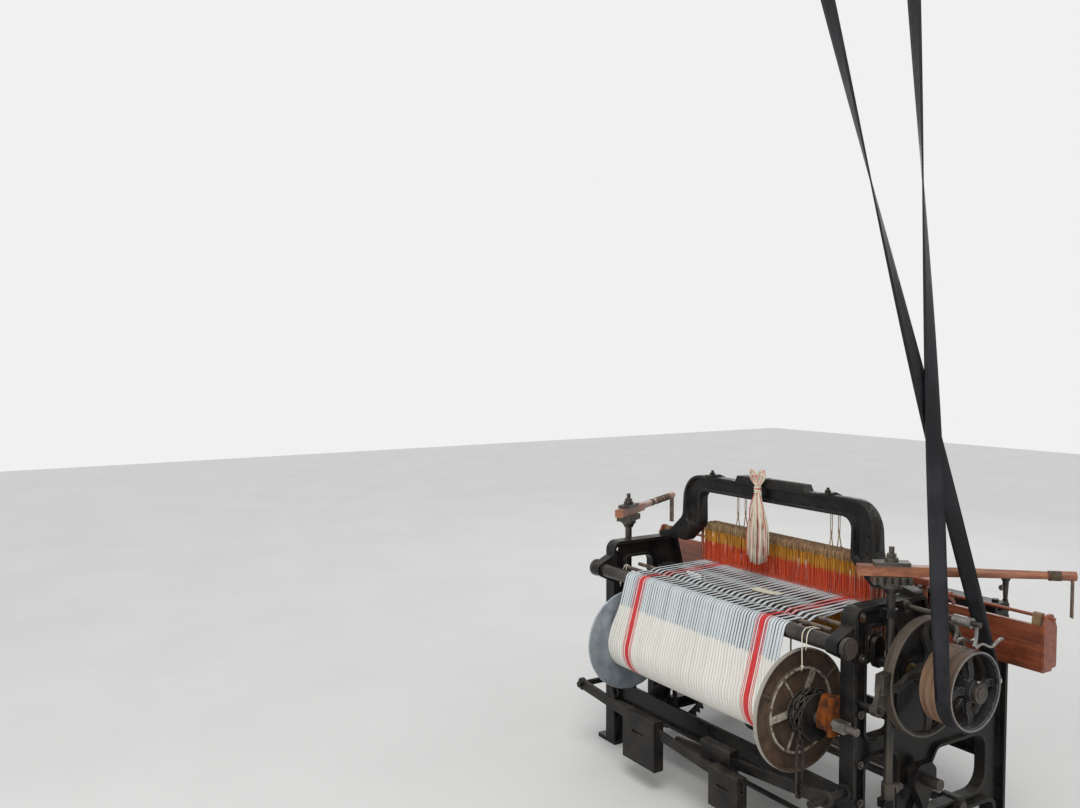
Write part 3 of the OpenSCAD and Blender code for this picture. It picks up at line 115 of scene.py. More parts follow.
class Build:
    # collects closed shapes that go into one piece

    def __init__(self):
        self.verts, self.faces = [], []

    def add(self, verts, faces):
        start = len(self.verts)
        self.verts.extend(verts)
        self.faces.extend([tuple(i + start for i in f) for f in faces])

    def loft(self, verts, per, closed=False):
        # a skin over rings of equally many points, capped unless the last ring meets the first
        count = len(verts) // per
        faces = []
        for i in range(count if closed else count - 1):
            j = (i + 1) % count
            for k in range(per):
                m = (k + 1) % per
                faces.append((i * per + k, i * per + m, j * per + m, j * per + k))
        if not closed:
            faces.append(tuple(range(per - 1, -1, -1)))
            faces.append(tuple((count - 1) * per + k for k in range(per)))
        self.add(verts, faces)

    def tube(self, points, radius, sides=6, closed=False):
        pts = [Vector(p) for p in points]
        count = len(pts)
        radii = radius if isinstance(radius, (list, tuple)) else [radius] * count
        verts, side = [], None
        for i, p in enumerate(pts):
            before = pts[(i - 1) % count] if closed else pts[max(i - 1, 0)]
            after = pts[(i + 1) % count] if closed else pts[min(i + 1, count - 1)]
            along = (after - before).normalized()
            if side is None:
                side = along.orthogonal().normalized()
            side = (side - along * side.dot(along)).normalized()
            up = along.cross(side)
            verts += [p + (side * math.cos(a) + up * math.sin(a)) * radii[i] for a in angles(sides)]
        self.loft(verts, sides, closed)

    def prism(self, profile, axis, low, high, bevel=0.0):
        # a convex profile in the plane across axis, carried from low to high along it
        def place(a, b, t):
            return {"x": Vector((t, a, b)), "z": Vector((a, b, t))}[axis]
        n = len(profile)
        ca = sum(p[0] for p in profile) / n
        cb = sum(p[1] for p in profile) / n
        levels = [(low, 0), (high, 0)]
        if bevel:
            levels = [(low, 1), (low + bevel, 0), (high - bevel, 0), (high, 1)]
        verts = []
        for t, shrink in levels:
            for a, b in profile:
                d = math.hypot(a - ca, b - cb)
                k = 1 - shrink * bevel / max(d, 1e-6)
                verts.append(place(ca + (a - ca) * k, cb + (b - cb) * k, t))
        self.loft(verts, n)

    def nut(self, centre, axis, radius, height, stud=0.0):
        # a round washer, a six-sided nut on it, and the end of its stud
        centre = Vector(centre)
        across = {"x": (1, 2), "z": (0, 1)}[axis]
        along = {"x": 0, "z": 2}[axis]
        washer, shank = {"radius": radius * 1.3, "thick": 0.0022}, {"radius": radius * 0.55, "sunk": 0.002}
        start, end = sorted((centre[along], centre[along] + height))

        def ring(r, sides, turn=0.0):
            return [(centre[across[0]] + r * math.cos(a + turn), centre[across[1]] + r * math.sin(a + turn))
                    for a in angles(sides)]
        self.prism(ring(washer["radius"], 16), axis, start, start + washer["thick"])
        self.prism(ring(radius, 6, centre[0] * 7), axis, start, end, bevel=radius * 0.14)
        if stud:
            sign = 1 if height > 0 else -1
            tip = centre[along] + height + sign * stud
            low, high = sorted((centre[along] + height - sign * shank["sunk"], tip))
            self.prism(ring(shank["radius"], 12), axis, low, high, bevel=radius * 0.1)

    def piece(self, name, body, material, smooth=True):
        mesh = bpy.data.meshes.new(name)
        mesh.from_pydata([tuple(v) for v in self.verts], [], self.faces)
        mesh.validate()
        mesh.update()
        if smooth:
            mesh.polygons.foreach_set("use_smooth", [True] * len(mesh.polygons))
        piece = linkNew(name, mesh)
        mesh.materials.append(material)
        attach(piece, body)
        return piece


# shared effects

class Graph:
    # adds linked nodes to one node tree

    def __init__(self, tree):
        self.tree = tree

    def feed(self, value, socket):
        # another socket is linked, and a plain value or an opaque colour is set
        if isinstance(value, bpy.types.NodeSocket):
            self.tree.links.new(value, socket)
        elif socket.type == "RGBA":
            socket.default_value = (*value, 1.0)
        else:
            socket.default_value = value

    def fill(self, node, **inputs):
        # i0, i1 and so on name a socket by its number, other words by its label
        for key, value in inputs.items():
            numbered = key[0] == "i" and key[1:].isdigit()
            self.feed(value, node.inputs[int(key[1:]) if numbered else key.replace("_", " ")])
        return node

    def add(self, kind, settings=None, **inputs):
        node = self.tree.nodes.new(kind)
        for key, value in (settings or {}).items():
            setattr(node, key, value)
        return self.fill(node, **inputs)

    def maths(self, operation, a, b=0.0, clamp=False):
        return self.add("ShaderNodeMath", {"operation": operation, "use_clamp": clamp}, i0=a, i1=b).outputs[0]

    def plus(self, a, b, clamp=False):
        return self.maths("ADD", a, b, clamp)

    def minus(self, a, b):
        return self.maths("SUBTRACT", a, b)

    def times(self, a, b, clamp=False):
        return self.maths("MULTIPLY", a, b, clamp)

    def vector(self, operation, a, b):
        return self.add("ShaderNodeVectorMath", {"operation": operation}, i0=a, i1=b).outputs

    def mix(self, factor, a, b):
        return self.add("ShaderNodeMix", {"data_type": "RGBA"}, i0=factor, i6=a, i7=b).outputs[2]

    def ramp(self, value, low, high, a=0.0, b=1.0):
        return self.add("ShaderNodeMapRange", {"interpolation_type": "SMOOTHSTEP"}, i0=value,
                        i1=low, i2=high, i3=a, i4=b).outputs[0]

    def noise(self, vector, scale, detail=3.0, rough=0.55):
        return self.add("ShaderNodeTexNoise", None, Vector=vector, Scale=scale, Detail=detail,
                        Roughness=rough).outputs[0]

    def streaks(self, vector, scale, detail=3.0, rough=0.55):
        # noise drawn out along the axes with the smaller scales
        stretched = self.add("ShaderNodeMapping", None, Vector=vector, Scale=scale)
        return self.noise(stretched.outputs[0], 1.0, detail, rough)

    def place(self):
        return self.add("ShaderNodeTexCoord").outputs["Object"]

    def split(self, vector):
        return self.add("ShaderNodeSeparateXYZ", None, Vector=vector).outputs


def darker(colour, share):
    return [c * share for c in colour]


socketKinds = {"Stretch": "Vector", "Light": "Color", "Dark": "Color", "Color": "Color"}


def newGroup(name, inputs, outputs):
    tree = bpy.data.node_groups.new(name, "ShaderNodeTree")
    for way, labels in (("INPUT", inputs), ("OUTPUT", outputs)):
        for label in labels:
            kind = "NodeSocket" + socketKinds.get(label, "Float")
            tree.interface.new_socket(label, in_out=way, socket_type=kind)
    g = Graph(tree)
    return g, g.add("NodeGroupInput").outputs, g.add("NodeGroupOutput")


def makeAgeing():
    # worn edges, dust on what faces up, and broad mottling
    g, given, out = newGroup("ageing", ["Scale", "Edge Width", "Edge Wear", "Dust"],
                             ["Wear", "Dust", "Mottle", "Grit"])
    place = g.place()
    mottle = g.noise(place, given["Scale"], 5.0, 0.6)
    grit = g.noise(place, 420.0, 3.0, 0.6)
    speck = g.noise(place, 60.0, 4.0, 0.7)
    geometry = g.add("ShaderNodeNewGeometry")
    bevel = g.add("ShaderNodeBevel", {"samples": 4}, Radius=given["Edge Width"])
    dot = g.vector("DOT_PRODUCT", bevel.outputs[0], geometry.outputs["Normal"])["Value"]
    edge = g.ramp(dot, 0.995, 0.9)
    broken = g.ramp(speck, 0.36, 0.62)
    wear = g.times(g.times(edge, broken), given["Edge Wear"], True)
    up = g.split(geometry.outputs["Normal"])["Z"]
    ledge = g.times(g.ramp(up, 0.25, 0.95), g.ramp(mottle, 0.3, 0.68))
    streak = g.times(g.ramp(g.streaks(place, (30.0, 30.0, 3.0)), 0.55, 0.75), 0.3)
    dust = g.times(g.plus(ledge, streak), given["Dust"], True)
    g.fill(out, Wear=wear, Dust=dust, Mottle=mottle, Grit=grit)
    return g.tree


def makeGrain():
    # long grain with darker pores, stretched along one way
    g, given, out = newGroup("woodGrain", ["Stretch", "Light", "Dark", "Pores"],
                             ["Color", "Height", "Polish"])
    place = g.place()
    along = g.vector("MULTIPLY", place, given["Stretch"])[0]
    broad = g.noise(along, 1.0, 4.0, 0.6)
    fine = g.noise(along, 7.0, 3.0, 0.7)
    tone = g.ramp(g.plus(g.times(broad, 0.7), g.times(fine, 0.3)), 0.33, 0.66)
    base = g.mix(tone, given["Dark"], given["Light"])
    pores = g.times(g.ramp(fine, 0.42, 0.34), given["Pores"], True)
    colour = g.mix(pores, base, g.mix(0.7, base, (0.02, 0.01, 0.005)))
    rubbed = g.ramp(g.noise(place, 5.0, 4.0, 0.6), 0.35, 0.7)
    g.fill(out, Color=colour, Height=fine, Polish=rubbed)
    return g.tree


def makeThreads():
    # fine threads side by side across X, with uneven tone along each
    g, given, out = newGroup("threads", ["Pitch", "Uneven"], ["Tone", "Height", "Slub"])
    place = g.place()
    x = g.split(place)["X"]
    turns = g.maths("DIVIDE", x, given["Pitch"])
    crown = g.maths("ABSOLUTE", g.maths("SINE", g.times(turns, math.pi)))
    streaks = g.streaks(place, (330.0, 3.0, 3.0), 2.0, 0.6)
    slub = g.streaks(place, (900.0, 60.0, 60.0), 2.0, 0.5)
    tone = g.times(g.minus(streaks, 0.5), given["Uneven"])
    g.fill(out, Tone=tone, Height=crown, Slub=slub)
    return g.tree


def makeBands():
    # red bands woven at the given distance each side of the middle, with thin lines beside them
    g, given, out = newGroup("redBands", ["Distance", "Width", "Line"], ["Mask"])
    place = g.place()
    wobble = g.times(g.minus(g.streaks(place, (3.0, 40.0, 40.0)), 0.5), 0.002)
    x = g.plus(g.split(place)["X"], wobble)
    side = g.minus(g.maths("ABSOLUTE", x), given["Distance"])
    off = g.maths("ABSOLUTE", side)
    broad = g.maths("LESS_THAN", off, g.times(given["Width"], 0.5))
    lines = broad
    for gap in (0.75, 1.05):
        near = g.maths("ABSOLUTE", g.minus(off, g.times(given["Width"], gap)))
        lines = g.maths("MAXIMUM", lines, g.maths("LESS_THAN", near, g.times(given["Line"], 0.5)))
    g.fill(out, Mask=lines)
    return g.tree


groups = {"ageing": makeAgeing(), "grain": makeGrain(), "threads": makeThreads(), "bands": makeBands()}


def newMaterial(name, gloss=0.5):
    material = bpy.data.materials.new(name)
    material.use_nodes = True
    tree = material.node_tree
    tree.nodes.clear()
    g = Graph(tree)
    shader = g.add("ShaderNodeBsdfPrincipled", None, Specular_IOR_Level=gloss)
    g.add("ShaderNodeOutputMaterial", None, i0=shader.outputs[0])
    return material, g, shader


def useGroup(g, which, **values):
    return g.add("ShaderNodeGroup", {"node_tree": groups[which]}, **values).outputs


def bumpOf(g, height, strength, distance):
    return g.add("ShaderNodeBump", None, Height=height, Strength=strength, Distance=distance).outputs[0]


def ironFinish(name, base, second, dust, bare, metallic=0.0, rough=(0.35, 0.6), wear=0.7, dusty=0.3,
               scale=9.0, bump=0.25, edge=0.0025, extra=None):
    material, g, shader = newMaterial(name, 0.17)
    aged = useGroup(g, "ageing", Scale=scale, Edge_Width=edge, Edge_Wear=wear, Dust=dusty)
    colour = g.mix(g.ramp(aged["Mottle"], 0.38, 0.64), base, second)
    if extra:
        colour = extra(g, colour, aged)
    colour = g.mix(aged["Dust"], colour, dust)
    colour = g.mix(aged["Wear"], colour, bare)
    dull = g.ramp(aged["Mottle"], 0.3, 0.7, rough[0], rough[1])
    g.fill(shader, Base_Color=colour, Roughness=g.plus(dull, g.times(aged["Dust"], 0.25), True),
           Metallic=metallic, Normal=bumpOf(g, aged["Grit"], bump, 0.0006))
    return material


def woodFinish(name, light, dark, stretch, coat=0.0, worn=None, extra=None):
    material, g, shader = newMaterial(name)
    grain = useGroup(g, "grain", Stretch=stretch, Light=light, Dark=dark, Pores=0.5)
    aged = useGroup(g, "ageing", Scale=7.0, Edge_Width=0.003, Edge_Wear=0.7, Dust=0.25)
    colour = g.mix(g.times(g.ramp(aged["Mottle"], 0.52, 0.7), 0.5), grain["Color"], darker(dark, 0.35))
    if extra:
        colour = extra(g, colour, aged)
    colour = g.mix(aged["Wear"], colour, worn or light)
    g.fill(shader, Base_Color=colour, Roughness=g.ramp(grain["Polish"], 0.0, 1.0, 0.5, 0.28),
           Coat_Weight=coat, Coat_Roughness=0.3, Normal=bumpOf(g, grain["Height"], 0.25, 0.0005))
    return material


def fromShaft(g, centre):
    # how far a surface point lies from the shaft through centre, which runs along X
    place = g.place()
    flat = g.vector("MULTIPLY", g.vector("SUBTRACT", place, centre)[0], (0.0, 1.0, 1.0))[0]
    return g.add("ShaderNodeVectorMath", {"operation": "LENGTH"}, i0=flat).outputs["Value"], place


# finishes
flangeLook = {"centre": (0.0, 0.452, 0.531), "proud": (-0.4945, -0.4985), "inner": (0.154, 0.150),
              "rim": (0.2135, 0.2155)}


def flangeWear(g, colour, aged):
    # pale rubbed ring and spokes, rusty shade between them, a bright line at the rim
    look = flangeLook
    far, place = fromShaft(g, look["centre"])
    proud = g.ramp(g.split(place)["X"], *look["proud"])
    speck = g.ramp(g.noise(place, 45.0, 5.0, 0.7), 0.36, 0.56)
    pale = g.times(g.times(proud, speck), g.ramp(far, *look["inner"]))
    colour = g.mix(g.times(pale, 0.85), colour, (0.52, 0.47, 0.37))
    rust = g.ramp(g.noise(place, 14.0, 5.0, 0.7), 0.5, 0.68)
    colour = g.mix(g.times(rust, 0.5), colour, (0.16, 0.085, 0.05))
    return g.mix(g.times(g.ramp(far, *look["rim"]), 0.75), colour, (0.42, 0.40, 0.34))


crankCentre = (0.0, 0.147, 0.675)


def pulleyRim(faceColour, edgeHighlight, outer):
    # a streaked face where the belt or brake band runs, and a painted highlight on the lighter edge beside it
    def extra(g, colour, aged):
        far, place = fromShaft(g, crankCentre)
        face = g.ramp(far, outer - 0.0035, outer - 0.0015)
        streaks = g.streaks(place, (160.0, 6.0, 6.0), 3.0, 0.6)
        shade = g.mix(g.ramp(streaks, 0.35, 0.65), faceColour, darker(faceColour, 0.55))
        colour = g.mix(face, colour, shade)
        # the lighter ring at the rim's edge is a painted highlight
        lipHighlight = g.times(g.ramp(far, outer - 0.0064, outer - 0.005), g.ramp(far, outer - 0.0005, outer - 0.003))
        return g.mix(g.times(lipHighlight, 0.6), colour, edgeHighlight)
    return extra


hangingFrom = (1.026, 1.022)


def stickExtra(g, colour, aged):
    # the leather that hangs below the stick's tip
    place = g.place()
    mottle = g.ramp(g.noise(place, 40.0, 4.0, 0.6), 0.4, 0.6)
    hide = g.mix(mottle, (0.055, 0.038, 0.026), (0.14, 0.1, 0.07))
    return g.mix(g.ramp(g.split(place)["Z"], *hangingFrom), colour, hide)


def leatherFinish(name, base, worn):
    material, g, shader = newMaterial(name, 0.3)
    aged = useGroup(g, "ageing", Scale=6.0, Edge_Width=0.002, Edge_Wear=0.8, Dust=0.35)
    pebble = g.add("ShaderNodeTexVoronoi", None, Vector=g.place(), Scale=540.0).outputs["Distance"]
    colour = g.mix(g.ramp(aged["Mottle"], 0.4, 0.68), base, worn)
    colour = g.mix(aged["Wear"], colour, darker(worn, 2.2))
    g.fill(shader, Base_Color=colour, Roughness=g.ramp(aged["Mottle"], 0.3, 0.7, 0.35, 0.6),
           Normal=bumpOf(g, pebble, 0.3, 0.0004))
    return material


sheetGroups = {"count": 63, "half": 0.462, "join": 0.702, "joinBlur": 0.006, "ragged": 0.024,
               "shadeGapFrom": 0.455, "shadeGapVary": 0.17, "open": 12, "openShadeMore": 0.2, "shadeGapSharp": 40.0}


def sheetShadeAndCream(g, colour, thread):
    # painted shade of uneven width in the gaps between the groups, closed below the ragged line where the
    # yarn is cream
    s = sheetGroups
    place = g.place()
    xyz = g.split(place)
    turns = g.times(g.plus(xyz["X"], s["half"]), s["count"] / 2 / s["half"])
    whole = g.maths("FLOOR", turns)
    off = g.maths("ABSOLUTE", g.minus(g.maths("FRACT", turns), 0.5))
    chance = g.add("ShaderNodeTexWhiteNoise", {"noise_dimensions": "1D"}, W=whole).outputs["Value"]
    fromOpen = g.maths("ABSOLUTE", g.minus(whole, float(s["open"])))
    wide = g.times(g.maths("LESS_THAN", fromOpen, 0.5), s["openShadeMore"])
    inner = g.minus(g.minus(s["shadeGapFrom"], g.times(chance, s["shadeGapVary"])), wide)
    # gap is a mask of painted shade, and its near-black colour below stands for the shade between the groups
    gap = g.times(g.minus(off, inner), s["shadeGapSharp"], True)
    ragged = g.minus(g.streaks(place, (120.0, 1.0, 1.0), 2.0, 0.7), 0.5)
    level = g.plus(xyz["Z"], g.times(ragged, s["ragged"]))
    joined = g.ramp(level, s["join"] + s["joinBlur"], s["join"] - s["joinBlur"])
    cream = g.mix(g.ramp(thread["Tone"], -0.3, 0.3), (0.66, 0.635, 0.56), (0.8, 0.785, 0.72))
    return g.mix(joined, g.mix(g.times(gap, 0.92), colour, (0.02, 0.023, 0.026)), cream)


bandLook = {"from": 0.352, "wide": 0.026, "line": 0.0035}


def yarnFinish(name, base, second, red=None, dull=0.8, pitch=0.0016, uneven=1.4, extra=None):
    material, g, shader = newMaterial(name)
    thread = useGroup(g, "threads", Pitch=pitch, Uneven=uneven)
    shade = g.plus(g.plus(thread["Tone"], 0.35), g.times(thread["Slub"], 0.3), True)
    colour = g.mix(shade, base, second)
    if extra:
        colour = extra(g, colour, thread)
    if red:
        band = useGroup(g, "bands", Distance=bandLook["from"], Width=bandLook["wide"],
                        Line=bandLook["line"])
        tint = g.mix(g.ramp(thread["Slub"], 0.3, 0.7), red, darker(red, 0.75))
        colour = g.mix(band["Mask"], colour, tint)
    height = g.plus(thread["Height"], g.times(thread["Slub"], 0.5))
    g.fill(shader, Base_Color=colour, Roughness=dull, Sheen_Weight=0.1, Sheen_Roughness=0.5,
           Normal=bumpOf(g, height, 0.35, 0.0005))
    return material


healdBands = {"gold": (0.925, 0.935), "top": (0.978, 0.984), "lowGold": (0.79, 0.782),
              "foot": (0.7, 0.69), "ragged": 0.05}


def healdExtra(g, colour, thread):
    # cream tops, golden yarn below them, then orange red down to gold and a cream foot
    place = g.place()
    z = g.split(place)["Z"]
    ragged = g.times(g.minus(g.streaks(place, (260.0, 8.0, 4.0), 2.0, 0.8), 0.5), healdBands["ragged"])
    level = g.plus(z, ragged)
    # each colour has a light and a dark copy, mixed by stretched noise as painted shade on the cords deeper
    # in the bank
    depthShade = g.streaks(place, (420.0, 40.0, 14.0), 2.0, 0.6)
    gold = g.mix(g.ramp(depthShade, 0.35, 0.62), (0.4, 0.15, 0.008), (0.74, 0.34, 0.022))
    orange = g.mix(g.ramp(depthShade, 0.35, 0.62), (0.44, 0.032, 0.008), (0.78, 0.095, 0.016))
    cream = g.mix(g.ramp(depthShade, 0.38, 0.6), (0.16, 0.095, 0.04), (0.5, 0.34, 0.16))
    mixed = g.mix(g.ramp(level, *healdBands["gold"]), orange, gold)
    mixed = g.mix(g.ramp(level, *healdBands["top"]), mixed, cream)
    mixed = g.mix(g.ramp(level, *healdBands["lowGold"]), mixed, gold)
    return g.mix(g.ramp(z, *healdBands["foot"]), mixed, cream)


bandRed = (0.7, 0.02, 0.025)
finishes = {
    "frame_iron": ironFinish("blackFrame", (0.008, 0.008, 0.009), (0.019, 0.017, 0.015),
        (0.095, 0.08, 0.062), (0.15, 0.135, 0.115), rough=(0.2, 0.45), dusty=0.26),
    "dark_steel": ironFinish("oiledSteel", (0.05, 0.047, 0.045), (0.1, 0.085, 0.07), (0.15, 0.12, 0.09),
        (0.4, 0.38, 0.35), metallic=0.75, rough=(0.28, 0.5), wear=0.8, dusty=0.35),
    "dark_iron": ironFinish("oilyIron", (0.011, 0.01, 0.010), (0.028, 0.024, 0.02), (0.1, 0.083, 0.062),
        (0.16, 0.145, 0.125), rough=(0.25, 0.55)),
    "bronze": ironFinish("bearingBrass", (0.36, 0.24, 0.09), (0.2, 0.13, 0.05), (0.1, 0.075, 0.05),
        (0.6, 0.45, 0.2), metallic=0.8, rough=(0.3, 0.5), wear=0.6, dusty=0.4),
    "rusty_iron": ironFinish("orangeRust", (0.2, 0.052, 0.009), (0.045, 0.017, 0.009), (0.04, 0.024, 0.016),
        (0.42, 0.15, 0.04), rough=(0.42, 0.85), dusty=0.4, scale=30.0, bump=0.8),
    "brown_iron": ironFinish("beamFlange", (0.055, 0.036, 0.025), (0.1, 0.066, 0.045), (0.14, 0.1, 0.07),
        (0.36, 0.33, 0.27), rough=(0.4, 0.65), wear=0.85, extra=flangeWear),
    "grey_iron": ironFinish("greyFlange", (0.30, 0.34, 0.37), (0.20, 0.235, 0.265), (0.33, 0.33, 0.31),
        (0.62, 0.64, 0.64), metallic=0.35, rough=(0.32, 0.55), wear=0.8, dusty=0.25, scale=16.0, bump=0.35),
    "bright_steel": ironFinish("wornSteel", (0.3, 0.295, 0.28), (0.16, 0.14, 0.12), (0.14, 0.11, 0.08),
        (0.55, 0.54, 0.5), metallic=0.8, rough=(0.22, 0.42), wear=0.8),
    "chain_iron": ironFinish("chainLinks", (0.028, 0.026, 0.025), (0.06, 0.05, 0.04), (0.12, 0.08, 0.05),
        (0.22, 0.2, 0.18), metallic=0.3, rough=(0.3, 0.55), wear=0.4, scale=40.0, edge=0.0012),
    "wheel_iron": ironFinish("brakeWheel", (0.022, 0.02, 0.019), (0.05, 0.043, 0.036), (0.13, 0.11, 0.085),
        (0.32, 0.29, 0.25), wear=0.6, extra=pulleyRim((0.115, 0.092, 0.07), (0.19, 0.16, 0.125), 0.204)),
    "brown_rim": ironFinish("fastPulley", (0.03, 0.022, 0.018), (0.06, 0.042, 0.032), (0.13, 0.1, 0.08),
        (0.35, 0.3, 0.25), wear=0.6, dusty=0.25,
        extra=pulleyRim((0.25, 0.15, 0.095), (0.3, 0.24, 0.19), 0.131)),
    "dark_rim": ironFinish("loosePulley", (0.02, 0.02, 0.022), (0.045, 0.043, 0.044), (0.12, 0.11, 0.1),
        (0.42, 0.42, 0.42), rough=(0.3, 0.55), wear=0.85, dusty=0.2,
        extra=pulleyRim((0.16, 0.105, 0.075), (0.34, 0.33, 0.31), 0.131)),
    "red_wood": woodFinish("redWood", (0.33, 0.085, 0.035), (0.14, 0.034, 0.016), (1.5, 45.0, 45.0),
        coat=0.25, worn=(0.5, 0.24, 0.12)),
    "stick_wood": woodFinish("stickWood", (0.37, 0.14, 0.06), (0.18, 0.056, 0.027), (14.0, 14.0, 60.0),
        coat=0.2, worn=(0.46, 0.24, 0.12), extra=stickExtra),
    "boxwood": woodFinish("shuttleWood", (0.5, 0.3, 0.14), (0.3, 0.16, 0.07), (3.0, 60.0, 60.0), coat=0.3),
    "roller_wood": woodFinish("rollerWood", (0.3, 0.22, 0.15), (0.15, 0.1, 0.065), (2.0, 50.0, 50.0)),
    "belt_leather": leatherFinish("blackBelt", (0.007, 0.007, 0.009), (0.022, 0.022, 0.026)),
    "hide": leatherFinish("pickerHide", (0.34, 0.22, 0.12), (0.2, 0.12, 0.06)),
    "darkHide": leatherFinish("darkHide", (0.06, 0.042, 0.03), (0.13, 0.095, 0.065)),
    "yarn": yarnFinish("woundYarn", (0.62, 0.6, 0.53), (0.8, 0.785, 0.72), red=bandRed, pitch=0.0022),
    "warp": yarnFinish("warpYarn", (0.5, 0.55, 0.57), (0.7, 0.745, 0.755), red=bandRed, extra=sheetShadeAndCream),
    "cloth_white": yarnFinish("wovenCloth", (0.72, 0.71, 0.68), (0.82, 0.81, 0.78), red=(0.62, 0.03, 0.03),
        pitch=0.0009, uneven=0.5),
    "heald_yarn": yarnFinish("healdCord", (0.6, 0.4, 0.2), (0.7, 0.5, 0.3), pitch=0.003, dull=0.6,
        extra=healdExtra),
    "string": yarnFinish("creamString", (0.68, 0.61, 0.46), (0.8, 0.74, 0.6), pitch=0.002),
    "twine": yarnFinish("tiedTwine", (0.36, 0.25, 0.13), (0.5, 0.38, 0.22), pitch=0.002),
    "redString": yarnFinish("redThrum", (0.6, 0.08, 0.09), (0.72, 0.16, 0.15), pitch=0.002),
    "card": yarnFinish("blankCard", (0.62, 0.58, 0.44), (0.7, 0.66, 0.52), pitch=0.004, uneven=0.3),
}

for part in frame["record"]["subparts"]:
    solid = nodes[part["node"]]
    solid.data.materials.clear()
    solid.data.materials.append(finishes[part["material_slot"]])
print("finishes set on the solids")

# yarn sheet, in groups of threads
random.seed(7)
sheetLook = {
    "groups": sheetGroups["count"], "half": sheetGroups["half"], "fill": 0.94, "thick": 0.0006,
    "beam": (0.452, 0.531), "roll": 0.119, "wrap": 130, "rest": (0.468, 0.805), "restRadius": 0.028,
    "lift": 0.0009, "eye": (0.058, 0.839), "fell": (-0.2218, 0.839), "aboveEye": 0.0006,
    "rods": (0.405, 0.325), "dip": 0.0185, "clear": 0.006, "dipRun": 0.066, "restRun": 0.056,
    "crown": 0.0005, "shoulder": 0.25, "closedShoulder": 0.2, "flatten": 0.9,
    "joinHeight": sheetGroups["join"], "joinRun": 0.02, "joinGap": 0.0001, "spread": 0.05, "spreadRun": 0.12,
}


def arcPoints(centre, radius, start, end, count):
    turns = [math.radians(start + (end - start) * k / count) for k in range(count + 1)]
    return [(centre[0] + radius * math.cos(a), centre[1] + radius * math.sin(a)) for a in turns]


def tangentAngle(c1, r1, c2, r2):
    # angle of the outer tangent on the rear side of two rollers
    dy, dz = c2[0] - c1[0], c2[1] - c1[1]
    return math.degrees(math.atan2(dz, dy)) - math.degrees(math.acos((r1 - r2) / math.hypot(dy, dz)))


def smooth(t):
    t = min(1.0, max(0.0, t))
    return t * t * (3 - 2 * t)


def outward(line, i):
    # unit vector off the side of a line of points in the YZ plane
    before, after = line[max(i - 1, 0)], line[min(i + 1, len(line) - 1)]
    along = Vector((after[0] - before[0], after[1] - before[1])).normalized()
    return Vector((along.y, -along.x))


def warpLine(odd, s):
    # the line that a group of threads follows, as (y, z) points from the beam to the fell
    roll, rest = s["roll"] + s["lift"], s["restRadius"] + s["lift"]
    angle = tangentAngle(s["beam"], roll, s["rest"], rest)
    curve = arcPoints(s["rest"], rest, angle, 90, 12)
    line = arcPoints(s["beam"], roll, angle - s["wrap"], angle, 24)
    start = line.pop()
    line += [tuple(start[i] + (curve[0][i] - start[i]) * k / 16 for i in range(2)) for k in range(16)] + curve
    restEnd, eye = line[-1], s["eye"]
    rear, front = s["rods"]
    for k in range(1, 41):
        y = restEnd[0] + (eye[0] - restEnd[0]) * k / 40
        z = restEnd[1] + (eye[1] + s["aboveEye"] - restEnd[1]) * k / 40
        if odd and y > front:
            bump = smooth((rear - s["clear"] - y) / s["dipRun"])
        elif odd:
            bump = smooth((y - eye[0]) / (front - eye[0] - s["clear"]))
        elif y > rear:
            bump = smooth((restEnd[0] - y) / s["restRun"])
        else:
            bump = smooth((y - front - s["clear"]) / s["dipRun"])
        line.append((y, z - s["dip"] * bump))
    for k in range(1, 9):
        line.append((eye[0] + (s["fell"][0] - eye[0]) * k / 8, eye[1] + s["aboveEye"]))
    return line


def makeWarp(s):
    b = Build()
    pitch = 2 * s["half"] / s["groups"]
    for g in range(s["groups"]):
        centre = -s["half"] + (g + 0.5) * pitch
        line = warpLine(g % 2 == 1, s)
        width = pitch * s["fill"]
        verts, faces = [], []
        n = len(line)
        for i, (y, z) in enumerate(line):
            out = outward(line, i)
            w, x, close = width, centre, 0.0
            if y > s["rods"][0] and z < s["joinHeight"]:
                # the groups close up and spread on the way to the roll
                close = smooth((s["joinHeight"] - z) / s["joinRun"])
                w += (pitch - s["joinGap"] - width) * close
                wider = 1 + s["spread"]
                if y > s["beam"][0]:
                    wider = 1 + s["spread"] * smooth((s["joinHeight"] - z) / s["spreadRun"])
                w, x = w * wider, x * wider
            if i:
                step = math.hypot(y - line[i - 1][0], z - line[i - 1][1])
                length += step / s["groups"]
            side = s["shoulder"] + s["closedShoulder"] * close
            for across, height in ((-0.5, 0), (-side, 1), (side, 1), (0.5, 0), (0.5, -1), (-0.5, -1)):
                h = s["crown"] * height * (1 - s["flatten"] * close) if height >= 0 else -s["thick"]
                verts.append((x + across * w, y - out.x * h, z - out.y * h))
        for i in range(n - 1):
            for k in range(6):
                m = (k + 1) % 6
                faces.append((i * 6 + k, (i + 1) * 6 + k, (i + 1) * 6 + m, i * 6 + m))
        faces += [tuple(range(6)), tuple((n - 1) * 6 + k for k in range(5, -1, -1))]
        b.add(verts, faces)
    piece = b.piece("warpSheet", "loom_frame", finishes["warp"])
    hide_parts("warp_sheet")


makeWarp(sheetLook)

rollLook = {
    "centre": (0.452, 0.531), "radius": 0.1186, "limit": 0.119, "half": 0.4865, "sides": 112,
    "groups": 75, "steps": 7, "valley": 0.0007, "ridge": 0.72, "lump": (-0.0004, 0.0003), "wave": 0.0003,
}


